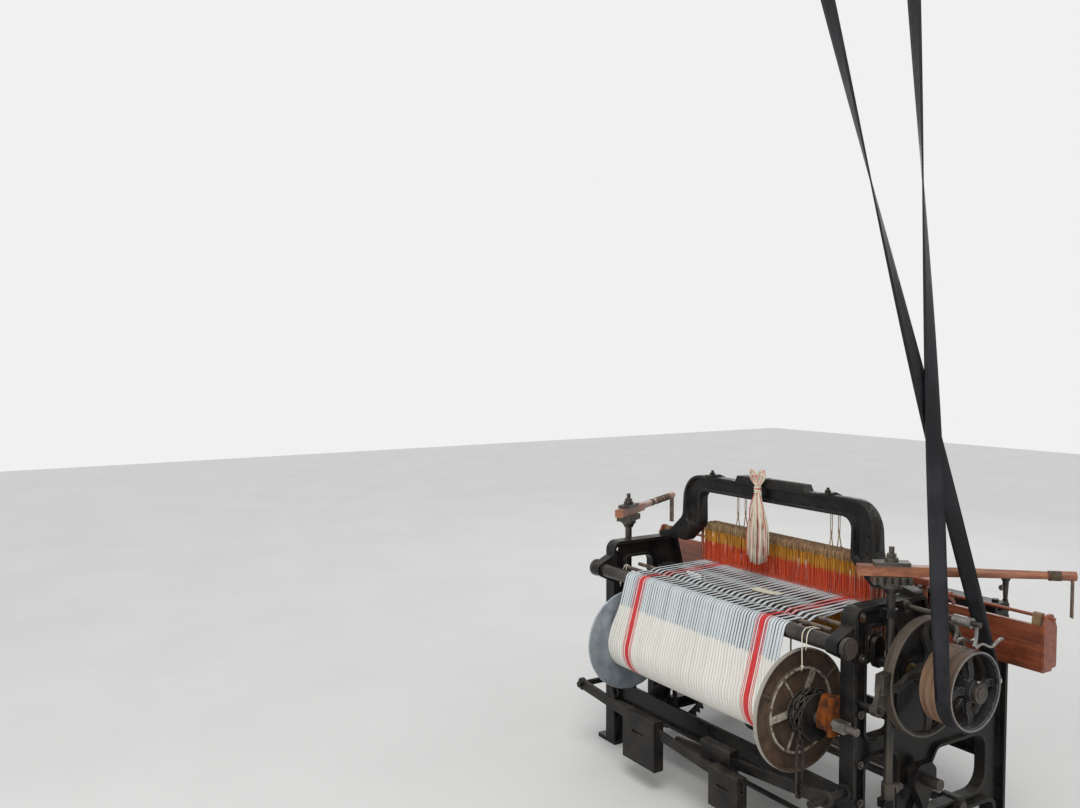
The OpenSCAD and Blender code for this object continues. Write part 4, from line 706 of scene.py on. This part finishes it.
def makeRoll(r):
    b = Build()
    count = r["groups"] * r["steps"]
    verts = []
    lumps = [random.uniform(*r["lump"]) for _ in range(r["groups"] + 1)]
    for i in range(count + 1):
        x = -r["half"] + 2 * r["half"] * i / count
        part = (i % r["steps"]) / r["steps"]
        valley = r["valley"] * max(0.0, abs(part * 2 - 1) - r["ridge"]) / (1 - r["ridge"])
        for a in angles(r["sides"]):
            shift = r["wave"] * math.sin(3 * a + i * 0.11) + lumps[i // r["steps"]]
            radius = min(r["limit"], r["radius"] + shift) - valley
            verts.append((x, r["centre"][0] + radius * math.cos(a), r["centre"][1] + radius * math.sin(a)))
    b.loft(verts, r["sides"])
    piece = b.piece("woundYarn", "warp_beam", finishes["yarn"])
    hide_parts("warp_roll")
    print("wound yarn:", len(b.faces), "faces")


makeRoll(rollLook)

# woven cloth
clothLook = {
    "half": 0.454, "thick": 0.0012, "across": 90, "pull": 0.0025,
    "fell": (-0.222, 0.8386), "edge": (-0.409, 0.822), "edgeRadius": 0.0163, "front": (-0.4253, 0.8),
    "takeUp": (-0.363, 0.7), "takeUpRadius": 0.0466, "roll": (-0.363, 0.545), "rollRadius": 0.0448,
}


def clothLine(c):
    line = [(c["fell"][0] + (c["edge"][0] - c["fell"][0]) * k / 10, c["fell"][1]) for k in range(10)]
    line += arcPoints(c["edge"], c["edgeRadius"], 90, 180, 8)
    front, centre, radius = c["front"], c["takeUp"], c["takeUpRadius"]
    dy, dz = front[0] - centre[0], front[1] - centre[1]
    enter = math.degrees(math.atan2(dz, dy)) + math.degrees(math.acos(radius / math.hypot(dy, dz)))
    leave = 270 - math.degrees(math.acos((radius + c["rollRadius"]) / (centre[1] - c["roll"][1])))
    line += [front] + arcPoints(centre, radius, enter % 360, leave, 12)
    line.append((c["roll"][0] - c["rollRadius"] * math.cos(math.radians(leave)),
                 c["roll"][1] - c["rollRadius"] * math.sin(math.radians(leave))))
    return line


def makeCloth(c):
    line = clothLine(c)
    verts = []
    for lift in (0.0, c["thick"]):
        for i, (y, z) in enumerate(line):
            out = outward(line, i)
            for k in range(c["across"] + 1):
                x = -c["half"] + 2 * c["half"] * k / c["across"]
                pull = c["pull"] * math.sin(i * 0.9) * (abs(x) / c["half"]) ** 12
                verts.append((x - math.copysign(abs(pull), x), y - out.x * lift, z - out.y * lift))
    b = Build()
    b.add(verts, sheetFaces(len(line), c["across"] + 1))
    piece = b.piece("wovenCloth", "loom_frame", finishes["cloth_white"])
    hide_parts("cloth")


makeCloth(clothLook)

# healds
healdLook = {
    "half": 0.474, "top": 1.010, "bottom": 0.676, "eye": 0.8397, "firstY": 0.058, "pitch": 0.024,
    "cords": 188, "cord": 0.00125, "inset": 0.016, "margin": 0.012, "jitter": 0.25,
    "lean": 0.0012, "deep": 0.0026, "thickness": (0.85, 1.2), "knot": (0.026, 0.036), "knotGirth": 1.7,
    "staveHeight": 0.02, "staveDepth": 0.009, "post": 0.005,
    "straps": (0.256, -0.262), "strapGap": 0.0018, "rollerY": 0.022, "rollerZ": 1.191, "rollerRadius": 0.02,
    "loop": (0.0022, 0.01, 0.013), "wraps": (0.058, 0.064, 0.07), "tieSide": 0.06, "tieLow": 0.1369,
}


def healdCord(b, x, y, h, side):
    lean = random.uniform(-h["lean"], h["lean"])
    deep = random.uniform(-h["deep"], h["deep"])
    thick = h["cord"] * random.uniform(*h["thickness"])
    top, bottom, eye = h["top"], h["bottom"], h["eye"]
    over = h["staveDepth"] / 2 + thick
    knot = random.uniform(*h["knot"])
    path = [(x, y - over, top - knot + 0.006), (x, y - over, top - 0.004), (x, y, top + thick * 0.8),
            (x, y + over, top - 0.004), (x, y + over, top - knot + 0.006), (x + lean, y + deep, top - knot),
            (x + lean * 0.4, y + deep, top - knot - 0.008), (x + lean * 1.6, y + deep, (top + eye) / 2),
            (x, y + deep, eye + 0.012), (x + side * 0.0022, y, eye), (x, y + deep, eye - 0.012),
            (x - lean, y + deep, (bottom + eye) / 2), (x + lean, y + deep, bottom + knot),
            (x, y + over, bottom + knot - 0.008), (x, y + over, bottom + 0.004), (x, y, bottom - thick * 0.8)]
    radii = [thick] * len(path)
    # the sixth point is the knot under the top stave
    radii[5] = thick * h["knotGirth"]
    b.tube(path, radii, sides=5)


def healdFrame(wood, y, h):
    # two staves with rounded edges and the post at each end
    deep, tall = h["staveDepth"] / 2, h["staveHeight"] / 2
    for low in (h["bottom"], h["top"] - h["staveHeight"]):
        profile = []
        for a in angles(16):
            flat = 1 if abs(math.cos(a)) > 0.3 else 0.8
            profile.append((y + deep * math.cos(a) * flat, low + tall + tall * math.sin(a)))
        wood.prism(profile, "x", -h["half"], h["half"], bevel=0.002)
    p = h["post"]
    for s in (-1, 1):
        x = s * (h["half"] - p)
        profile = [(x - p, y - deep), (x + p, y - deep), (x + p, y + deep), (x - p, y + deep)]
        wood.prism(profile, "z", h["bottom"], h["top"], bevel=0.0015)


def healdTies(straps, rows, strapSide, h):
    # loops round the staves, straps up to the roller, and the tie down to the treadle
    top, bottom = h["top"], h["bottom"]
    grip, drop, tall = h["loop"]
    for y in rows:
        for x in h["straps"]:
            loop = [(y + (h["staveDepth"] / 2 + grip) * math.cos(a), top - drop + tall * math.sin(a))
                    for a in angles(12)]
            for (y0, z0), (y1, z1) in zip(loop, loop[1:] + loop[:1]):
                straps.tube([(x - 0.006, y0, z0), (x - 0.006, y1, z1)], 0.0016, sides=5)
                straps.tube([(x + 0.006, y0, z0), (x + 0.006, y1, z1)], 0.0016, sides=5)
    strapY = h["rollerY"] + strapSide * (h["rollerRadius"] + h["strapGap"])
    for x in h["straps"]:
        for y in rows:
            straps.tube([(x, y, top + 0.001), (x, (y + strapY) / 2, top + 0.03), (x, strapY, top + 0.06)],
                        0.0022, sides=6)
        for side in (-1, 1):
            straps.tube([(x + side * 0.002, strapY, top + 0.055),
                         (x + side * 0.0045, strapY, (top + h["rollerZ"]) / 2),
                         (x + side * 0.003, strapY, h["rollerZ"])], 0.0017, sides=6)
        for z in h["wraps"]:
            ring = [(x + 0.005 * math.cos(a), strapY + 0.0035 * math.sin(a), top + z) for a in angles(10)]
            straps.tube(ring, 0.0013, sides=5, closed=True)
    tieX, low, middle = -strapSide * h["tieSide"], h["tieLow"], sum(rows) / 2
    for y in rows:
        straps.tube([(tieX, y, bottom + 0.002), (tieX, middle, bottom - 0.045)], 0.002, sides=6)
    straps.tube([(tieX, middle, bottom - 0.043), (tieX + 0.001, middle, (bottom + low) / 2),
                 (tieX, middle, low)], 0.0035, sides=8)


def makeHealds(node, body, first, strapSide, h):
    cords, wood, straps = Build(), Build(), Build()
    rows = [h["firstY"] - (first + k) * h["pitch"] for k in (0, 1)]
    span = 2 * h["half"] - 2 * h["inset"]
    edge = h["half"] - h["margin"]
    for y in rows:
        for i in range(h["cords"]):
            nudge = random.uniform(-h["jitter"], h["jitter"])
            x = -h["half"] + h["inset"] + span * (i + nudge) / (h["cords"] - 1)
            healdCord(cords, min(edge, max(-edge, x)), y, h, 1 if i % 2 else -1)
        healdFrame(wood, y, h)
    healdTies(straps, rows, strapSide, h)
    piece = cords.piece(node + "Cords", body, finishes["heald_yarn"])
    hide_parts(node)
    wood.piece(node + "Staves", body, finishes["red_wood"])
    straps.piece(node + "Twine", body, finishes["twine"])
    print(node, len(cords.faces), "faces")


makeHealds("back_healds", "back_heald_pair", 0, 1, healdLook)
makeHealds("front_healds", "front_heald_pair", 2, -1, healdLook)

# card, tuft and strings
cardLook = {"x": (-0.195, -0.06), "y": (0.23, 0.278), "z": 0.841, "thick": 0.0005, "cells": (10, 6),
            "skew": 0.012, "curl": (0.004, 0.002)}


def makeCard(c):
    verts = []
    long, short = c["cells"]
    for layer in (0, 1):
        for i in range(long + 1):
            for j in range(short + 1):
                u, v = i / long, j / short
                x = c["x"][0] + (c["x"][1] - c["x"][0]) * u
                y = c["y"][0] + (c["y"][1] - c["y"][0]) * v + c["skew"] * (u - 0.5)
                curl = c["curl"][0] * (2 * u - 1) ** 2 + c["curl"][1] * (2 * v - 1) ** 2
                verts.append((x, y, c["z"] + curl + layer * c["thick"]))
    b = Build()
    b.add(verts, sheetFaces(long + 1, short + 1))
    piece = b.piece("blankCard", "loom_frame", finishes["card"])


makeCard(cardLook)

tuftLook = {
    "x": 0.043, "y": 0.1265, "knot": 1.214, "top": 1.297, "end": 0.9, "strands": 210, "waist": 0.015,
    "wide": 0.056, "forward": 0.011, "loops": 64, "turns": 7, "turnPitch": 0.004,
    "hold": [(-0.004, 0.125, 1.245), (-0.006, 0.12, 1.2584), (-0.006, 0.096, 1.2584),
             (-0.004, 0.0695, 1.2575), (-0.002, 0.069, 1.235), (0.004, 0.069, 1.19), (0.006, 0.07, 1.165),
             (0.006, 0.096, 1.1605), (0.004, 0.1225, 1.162), (0.002, 0.1265, 1.185)],
}


def hangStrands(cream, red, t):
    for i in range(t["strands"]):
        a, r = random.uniform(0, 2 * math.pi), math.sqrt(random.random())
        side, out = r * math.cos(a), r * math.sin(a)
        foot = t["end"] + 0.17 * random.random() ** 2.2 + 0.03 * abs(side)
        wide = t["wide"] * random.uniform(0.85, 1.15)
        wave = random.uniform(-0.003, 0.003)
        path = []
        for k in range(9):
            v = k / 8
            spread = t["waist"] + (wide - t["waist"]) * smooth(min(1.0, v * 1.5))
            path.append((t["x"] + side * spread + wave * math.sin(v * 7 + i),
                         t["y"] + t["forward"] + out * (0.009 + 0.009 * v),
                         t["knot"] + (foot - t["knot"]) * v))
        (red if i % 5 == 3 else cream).tube(path, random.uniform(0.0014, 0.002), sides=4)


def raiseLoops(cream, red, t):
    # loops above the knot, in two ears
    for i in range(t["loops"]):
        ear = -1 if i % 2 else 1
        high = random.uniform(0.6, 1.0) * (t["top"] - t["knot"])
        lean, wide = ear * random.uniform(0.012, 0.036), random.uniform(0.01, 0.022)
        deep = random.uniform(-0.006, 0.01)
        path = []
        for k in range(11):
            v = k / 10
            rise = math.sin(math.pi * v)
            path.append((t["x"] + lean * rise * 1.1 + wide * math.sin(2 * math.pi * v) * 0.8,
                         t["y"] + t["forward"] + deep * rise, t["knot"] + high * rise ** 0.8))
        (red if i % 5 == 2 else cream).tube(path, random.uniform(0.0016, 0.0022), sides=4)


def makeTuft(t):
    cream, red = Build(), Build()
    hangStrands(cream, red, t)
    raiseLoops(cream, red, t)
    for k in range(t["turns"]):
        # the turns of the knot
        z, tilt = t["knot"] + t["turnPitch"] * (k - 3), random.uniform(-0.006, 0.006)
        ring = [(t["x"] + 0.0155 * math.cos(a), t["y"] + 0.0115 + 0.0125 * math.sin(a),
                 z + tilt * math.cos(a)) for a in angles(14)]
        (red if k == 4 else cream).tube(ring, 0.0021, sides=5, closed=True)
    # one string holds it over the top of the arch
    hold = [(t["x"] + dx, y, z) for dx, y, z in t["hold"]]
    ends = [(t["x"], t["y"] + 0.008, t["knot"] + 0.012), (t["x"], t["y"] + 0.006, t["knot"] - 0.012)]
    cream.tube(ends[:1] + hold + ends[1:], 0.0015, sides=6)
    cream.piece("yarnTuft", "loom_frame", finishes["string"])
    red.piece("redTuft", "loom_frame", finishes["redString"])
    print("tuft:", len(cream.faces) + len(red.faces), "faces")


makeTuft(tuftLook)

# strings tied on the lease rods: the points of each and its radius
stringLook = {
    "leftTie": ([(0.566, 0.3965, 0.83), (0.566, 0.405, 0.8352), (0.566, 0.4145, 0.8285),
                 (0.566, 0.4162, 0.815), (0.5675, 0.4166, 0.79), (0.568, 0.4164, 0.762),
                 (0.5672, 0.416, 0.734), (0.568, 0.4158, 0.71)], 0.0017),
    "leftLoop": ([(0.578, 0.3965, 0.83), (0.578, 0.405, 0.8352), (0.579, 0.4145, 0.8285),
                  (0.584, 0.42, 0.813), (0.59, 0.424, 0.795), (0.5935, 0.4262, 0.774),
                  (0.5925, 0.427, 0.753)], 0.0017),
    "rightTie": ([(-0.548, 0.433, 0.829), (-0.547, 0.448, 0.834), (-0.545, 0.464, 0.8352),
                  (-0.543, 0.479, 0.8336), (-0.5425, 0.491, 0.8255), (-0.543, 0.4975, 0.812),
                  (-0.5435, 0.499, 0.79), (-0.544, 0.4992, 0.76), (-0.5445, 0.499, 0.73),
                  (-0.545, 0.4988, 0.705)], 0.0018),
    "rightLoop": ([(-0.562, 0.433, 0.829), (-0.5625, 0.448, 0.834), (-0.5625, 0.464, 0.8352),
                   (-0.563, 0.479, 0.8336), (-0.564, 0.491, 0.8255), (-0.5645, 0.4975, 0.812),
                   (-0.564, 0.499, 0.796), (-0.563, 0.499, 0.78)], 0.0018),
}


def smoothPath(points, per=5):
    # Catmull-Rom points through the given ones
    pts = [Vector(p) for p in points]
    ends = [pts[0] * 2 - pts[1]] + pts + [pts[-1] * 2 - pts[-2]]
    out = []
    for i in range(1, len(ends) - 2):
        a, b, c, d = ends[i - 1:i + 3]
        for k in range(per):
            t = k / per
            bend = (2 * a - 5 * b + 4 * c - d) * t * t
            out.append(0.5 * (2 * b + (c - a) * t + bend + (3 * b - a - 3 * c + d) * t ** 3))
    return out + [pts[-1]]


def makeStrings(strings):
    for name, (points, radius) in strings.items():
        path = smoothPath(points)
        b, c = Build(), Build()
        b.tube(path, radius, sides=8)
        x, y, z = path[-1]
        # a small overhand knot at the end, and the tail under it
        knot = [(x + 0.0036 * math.cos(a), y + 0.0026 * math.sin(2 * a), z - 0.001 + 0.0036 * math.sin(a))
                for a in angles(14)]
        c.tube(knot, radius * 0.9, sides=6, closed=True)
        c.tube([(x, y, z - 0.002), (x + 0.002, y, z - 0.016)], radius * 0.8, sides=6)
        knotPiece = c.piece(name + "Knot", "loom_frame", finishes["string"])
        piece = b.piece(name, "loom_frame", finishes["string"])
    print("strings:", len(strings))


makeStrings(stringLook)

# more chain over the links of the solid model, and small iron and rusty pieces
chainLook = {
    "beam": (0.452, 0.531), "wire": 0.0034, "half": 0.0164, "wide": 0.0082, "step": 20, "lean": 45,
    "sway": 0.0012,
    "turns": ((0.5235, 0.0696, 12), (0.5295, 0.0788, 40), (0.541, 0.0872, 75), (0.5525, 0.0872, 10),
              (0.5655, 0.0788, 95), (0.5700, 0.0696, 50)),
}


def chainLink(b, at, out, along, turn, c):
    # one race-track link; its long way follows along, and turn leans it about that line
    side = along.cross(out).normalized()
    flat = side * math.cos(turn) + out * math.sin(turn)
    straight, bend = c["half"] - c["wide"], c["wide"] - c["wire"]
    path = []
    for end in (1, -1):
        for k in range(5):
            a = math.pi * k / 4
            far, wide = end * (straight + bend * math.sin(a)), end * bend * math.cos(a)
            path.append(at + along * far + flat * wide)
    b.tube(path, c["wire"], sides=6, closed=True)


def makeWindings(c):
    for label, sign in (("left", 1), ("right", -1)):
        b = Build()
        for x, radius, first in c["turns"]:
            for k in range(360 // c["step"]):
                angle = math.radians(first + c["step"] * k)
                out = Vector((0, math.cos(angle), math.sin(angle)))
                along = Vector((0, -math.sin(angle), math.cos(angle)))
                centre = Vector((sign * (x + c["sway"] * math.sin(angle * 2)), *c["beam"])) + out * radius
                chainLink(b, centre, out, along, math.radians(c["lean"] if k % 2 else -c["lean"]), c)
        b.piece(label + "Windings", "loom_frame", finishes["chain_iron"])
        print(label, "chain windings:", len(b.faces), "faces")


makeWindings(chainLook)

wrapLook = {
    "height": 1.045, "radius": 0.0152, "pitch": 0.0034, "twine": 0.0017, "steps": 14,
    "sticks": {
        "rightStick": {"body": "right_picking", "from": (-0.70, 0.3155), "to": (-1.10, -0.138),
                       "zones": ((0.88, 0.945),)},
        "leftStick": {"body": "left_picking", "from": (0.707, 0.3206), "to": (1.0, -0.19),
                      "zones": ((0.52, 0.58), (0.64, 0.78), (0.82, 0.93))},
    },
}


def makeWraps(w):
    # waxed twine wound tightly round each stick near its tip
    up = Vector((0, 0, 1))
    for name, stick in w["sticks"].items():
        start, end = Vector((*stick["from"], w["height"])), Vector((*stick["to"], w["height"]))
        along = (end - start).normalized()
        side = along.cross(up).normalized()
        b = Build()
        for first, last in stick["zones"]:
            length = (end - start).length * (last - first)
            count = int(length / w["pitch"]) * w["steps"]
            path = []
            for k in range(count + 1):
                a = 2 * math.pi * k / w["steps"]
                at = start + (end - start) * first + along * (length * k / count)
                path.append(at + side * w["radius"] * math.cos(a) + up * w["radius"] * math.sin(a))
            b.tube(path, w["twine"], sides=5)
        piece = b.piece(name + "Wrap", stick["body"], finishes["darkHide"])


makeWraps(wrapLook)

fixingLook = {
    "face": 0.7062, "postY": 0.398, "postZ": (0.27, 0.40, 0.57, 0.76), "railY": (-0.36, 0.396), "railZ": 0.9,
    "plug": (0.385, 0.886), "plugRadius": 0.0098, "plugX": (0.690, 0.7075), "screw": (-0.967, 0.147, 0.705),
}


def makeFixings(f):
    iron, plugs, screws = Build(), Build(), Build()
    for side in (-1, 1):
        for z in f["postZ"]:
            iron.nut((side * f["face"], f["postY"], z), "x", 0.0105, side * 0.009, stud=0.005)
        for y in f["railY"]:
            iron.nut((side * f["face"], y, f["railZ"]), "x", 0.009, side * 0.008, stud=0.004)
        ring = [(f["plug"][0] + f["plugRadius"] * math.cos(a), f["plug"][1] + f["plugRadius"] * math.sin(a))
                for a in angles(24)]
        low, high = sorted(side * x for x in f["plugX"])
        plugs.prism(ring, "x", low, high, bevel=0.0012)
    screws.nut(f["screw"], "z", 0.006, 0.008)
    iron.piece("frameNuts", "loom_frame", finishes["dark_steel"], smooth=False)
    plugs.piece("rustyPlugs", "loom_frame", finishes["rusty_iron"])
    screws.piece("collarScrew", "crank", finishes["bright_steel"], smooth=False)
    print("fixings made")


makeFixings(fixingLook)


def openCopy(node):
    # the mesh of a solid, joined at its seams
    shape = bmesh.new()
    shape.from_mesh(nodes[node].data)
    bmesh.ops.remove_doubles(shape, verts=shape.verts, dist=1e-6)
    return shape


def closeCopy(name, shape, material, sharp):
    bmesh.ops.triangulate(shape, faces=shape.faces)
    mesh = bpy.data.meshes.new(name)
    shape.to_mesh(mesh)
    shape.free()
    mesh.polygons.foreach_set("use_smooth", [True] * len(mesh.polygons))
    mesh.set_sharp_from_angle(angle=math.radians(sharp))
    mesh.materials.clear()
    mesh.materials.append(material)
    return linkNew(name, mesh)


# the belt, copied from the solid with its long edges cut finer
beltLook = {"longest": 0.03, "cuts": 3, "sharp": 40.0, "forkEnd": 0.85, "still": 1.19}


def makeBelt(b):
    shape = openCopy("drive_belt")
    long = [e for e in shape.edges if e.calc_length() > b["longest"]]
    bmesh.ops.subdivide_edges(shape, edges=long, cuts=b["cuts"], use_grid_fill=True)
    belt = closeCopy("leatherBelt", shape, finishes["belt_leather"], b["sharp"])
    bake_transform(belt)
    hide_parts("drive_belt")
    print("belt:", len(belt.data.polygons), "faces")


makeBelt(beltLook)

# arch: the casting with the wide round corners of the photograph
archLook = {"half": 0.528, "top": 1.231, "corner": 0.0294, "round": 0.108, "rib": 0.012, "pocket": 0.066,
            "steps": 12, "sharp": 32.0}


def reach(half, corner, dx, dz):
    # from the middle of a square with rounded corners to its edge, in one direction
    side = half - corner
    if dz * half <= dx * side:
        return half / dx
    if dx * half <= dz * side:
        return half / dz
    along = side * (dx + dz)
    return along + math.sqrt(max(along * along - 2 * side * side + corner * corner, 0.0))


def roundCorner(dx, dz, a):
    # the place in the round corner for a point dx, dz from the middle of the square one
    far = math.hypot(dx, dz)
    edge = reach(a["round"], a["corner"], dx / far, dz / far)
    inner = a["round"] - a["rib"]
    pocket = reach(inner, a["pocket"], dx / far, dz / far)
    wanted = far * inner / pocket
    if far > pocket:
        wanted = inner + (far - pocket) * a["rib"] / (edge - pocket)
    return dx * wanted / far, dz * wanted / far


def makeArch(a):
    shape = openCopy("arch_rail")
    startX, startZ = a["half"] - a["round"], a["top"] - a["round"]
    for k in range(a["steps"]):
        step = a["round"] * k / a["steps"]
        for place, across in (((startX + step, 0, 0), (1, 0, 0)), ((-startX - step, 0, 0), (1, 0, 0)),
                              ((0, 0, startZ + step), (0, 0, 1))):
            parts = shape.verts[:] + shape.edges[:] + shape.faces[:]
            bmesh.ops.bisect_plane(shape, geom=parts, dist=1e-6, plane_co=place, plane_no=across)
    for vert in shape.verts:
        dx, dz = abs(vert.co.x) - startX, vert.co.z - startZ
        if dx > 1e-5 and dz > 1e-5:
            dx, dz = roundCorner(dx, dz, a)
            vert.co.x = math.copysign(startX + dx, vert.co.x)
            vert.co.z = startZ + dz
    arch = closeCopy("roundedArch", shape, finishes["frame_iron"], a["sharp"])
    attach(arch, "loom_frame")
    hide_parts("arch_rail")
    print("arch:", len(arch.data.polygons), "faces")


makeArch(archLook)

# floor, world and lamps
stageLook = {
    "floor": (0.72, 0.715, 0.70), "floorRough": 0.85, "floorHalf": 14.0,
    "seen": (0.88, 0.88, 0.88), "sky": (0.96, 0.98, 1.0), "skyStrength": 0.5,
    "sunPower": 1.35, "sunAngle": 28.0, "sunFrom": (-2.4, 2.0, 4.4), "aim": (0.0, 0.0, 0.7),
    "lamps": {
        "fillLamp": {"place": (-1.5, 5.2, 2.6), "power": 70.0, "size": 3.2},
        "frontLamp": {"place": (3.4, -4.4, 4.2), "power": 38.0, "size": 3.0},
    },
}


def makeFloor(s):
    material, g, shader = newMaterial("paleFloor")
    tone = g.ramp(g.noise(g.place(), 1.3, 5.0, 0.55), 0.3, 0.7)
    colour = g.mix(tone, darker(s["floor"], 0.96), s["floor"])
    g.fill(shader, Base_Color=colour, Roughness=s["floorRough"])
    mesh = bpy.data.meshes.new("floor")
    r = s["floorHalf"]
    mesh.from_pydata([(-r, -r, 0), (r, -r, 0), (r, r, 0), (-r, r, 0)], [], [(0, 1, 2, 3)])
    mesh.materials.append(material)
    floor = linkNew("floor", mesh)


def makeWorld(s):
    # what is seen directly or mirrored is paler than what lights the loom
    world = bpy.data.worlds.new("softRoom")
    world.use_nodes = True
    scene.world = world
    world.node_tree.nodes.clear()
    g = Graph(world.node_tree)
    path = g.add("ShaderNodeLightPath").outputs
    mirrored = g.maths("MAXIMUM", path["Is Glossy Ray"], path["Is Transmission Ray"])
    seen = g.maths("MAXIMUM", path["Is Camera Ray"], mirrored)
    plain = g.add("ShaderNodeBackground", None, Color=s["sky"], Strength=s["skyStrength"])
    pale = g.add("ShaderNodeBackground", None, Color=s["seen"], Strength=1.0)
    mixed = g.add("ShaderNodeMixShader", None, i0=seen, i1=plain.outputs[0], i2=pale.outputs[0])
    g.add("ShaderNodeOutputWorld", None, Surface=mixed.outputs[0])


def aimed(direction):
    return direction.to_track_quat("-Z", "Y").to_euler()


def makeLamps(s):
    data = bpy.data.lights.new("windowLight", "SUN")
    data.energy, data.angle = s["sunPower"], math.radians(s["sunAngle"])
    linkNew("windowLight", data).rotation_euler = aimed(-Vector(s["sunFrom"]))
    for name, look in s["lamps"].items():
        data = bpy.data.lights.new(name, "AREA")
        data.energy, data.size = look["power"], look["size"]
        lamp = linkNew(name, data)
        lamp.location = look["place"]
        lamp.rotation_euler = aimed(Vector(s["aim"]) - Vector(look["place"]))


makeFloor(stageLook)
makeWorld(stageLook)
makeLamps(stageLook)
scene.view_settings.view_transform = "Standard"
print("stage and lamps done")
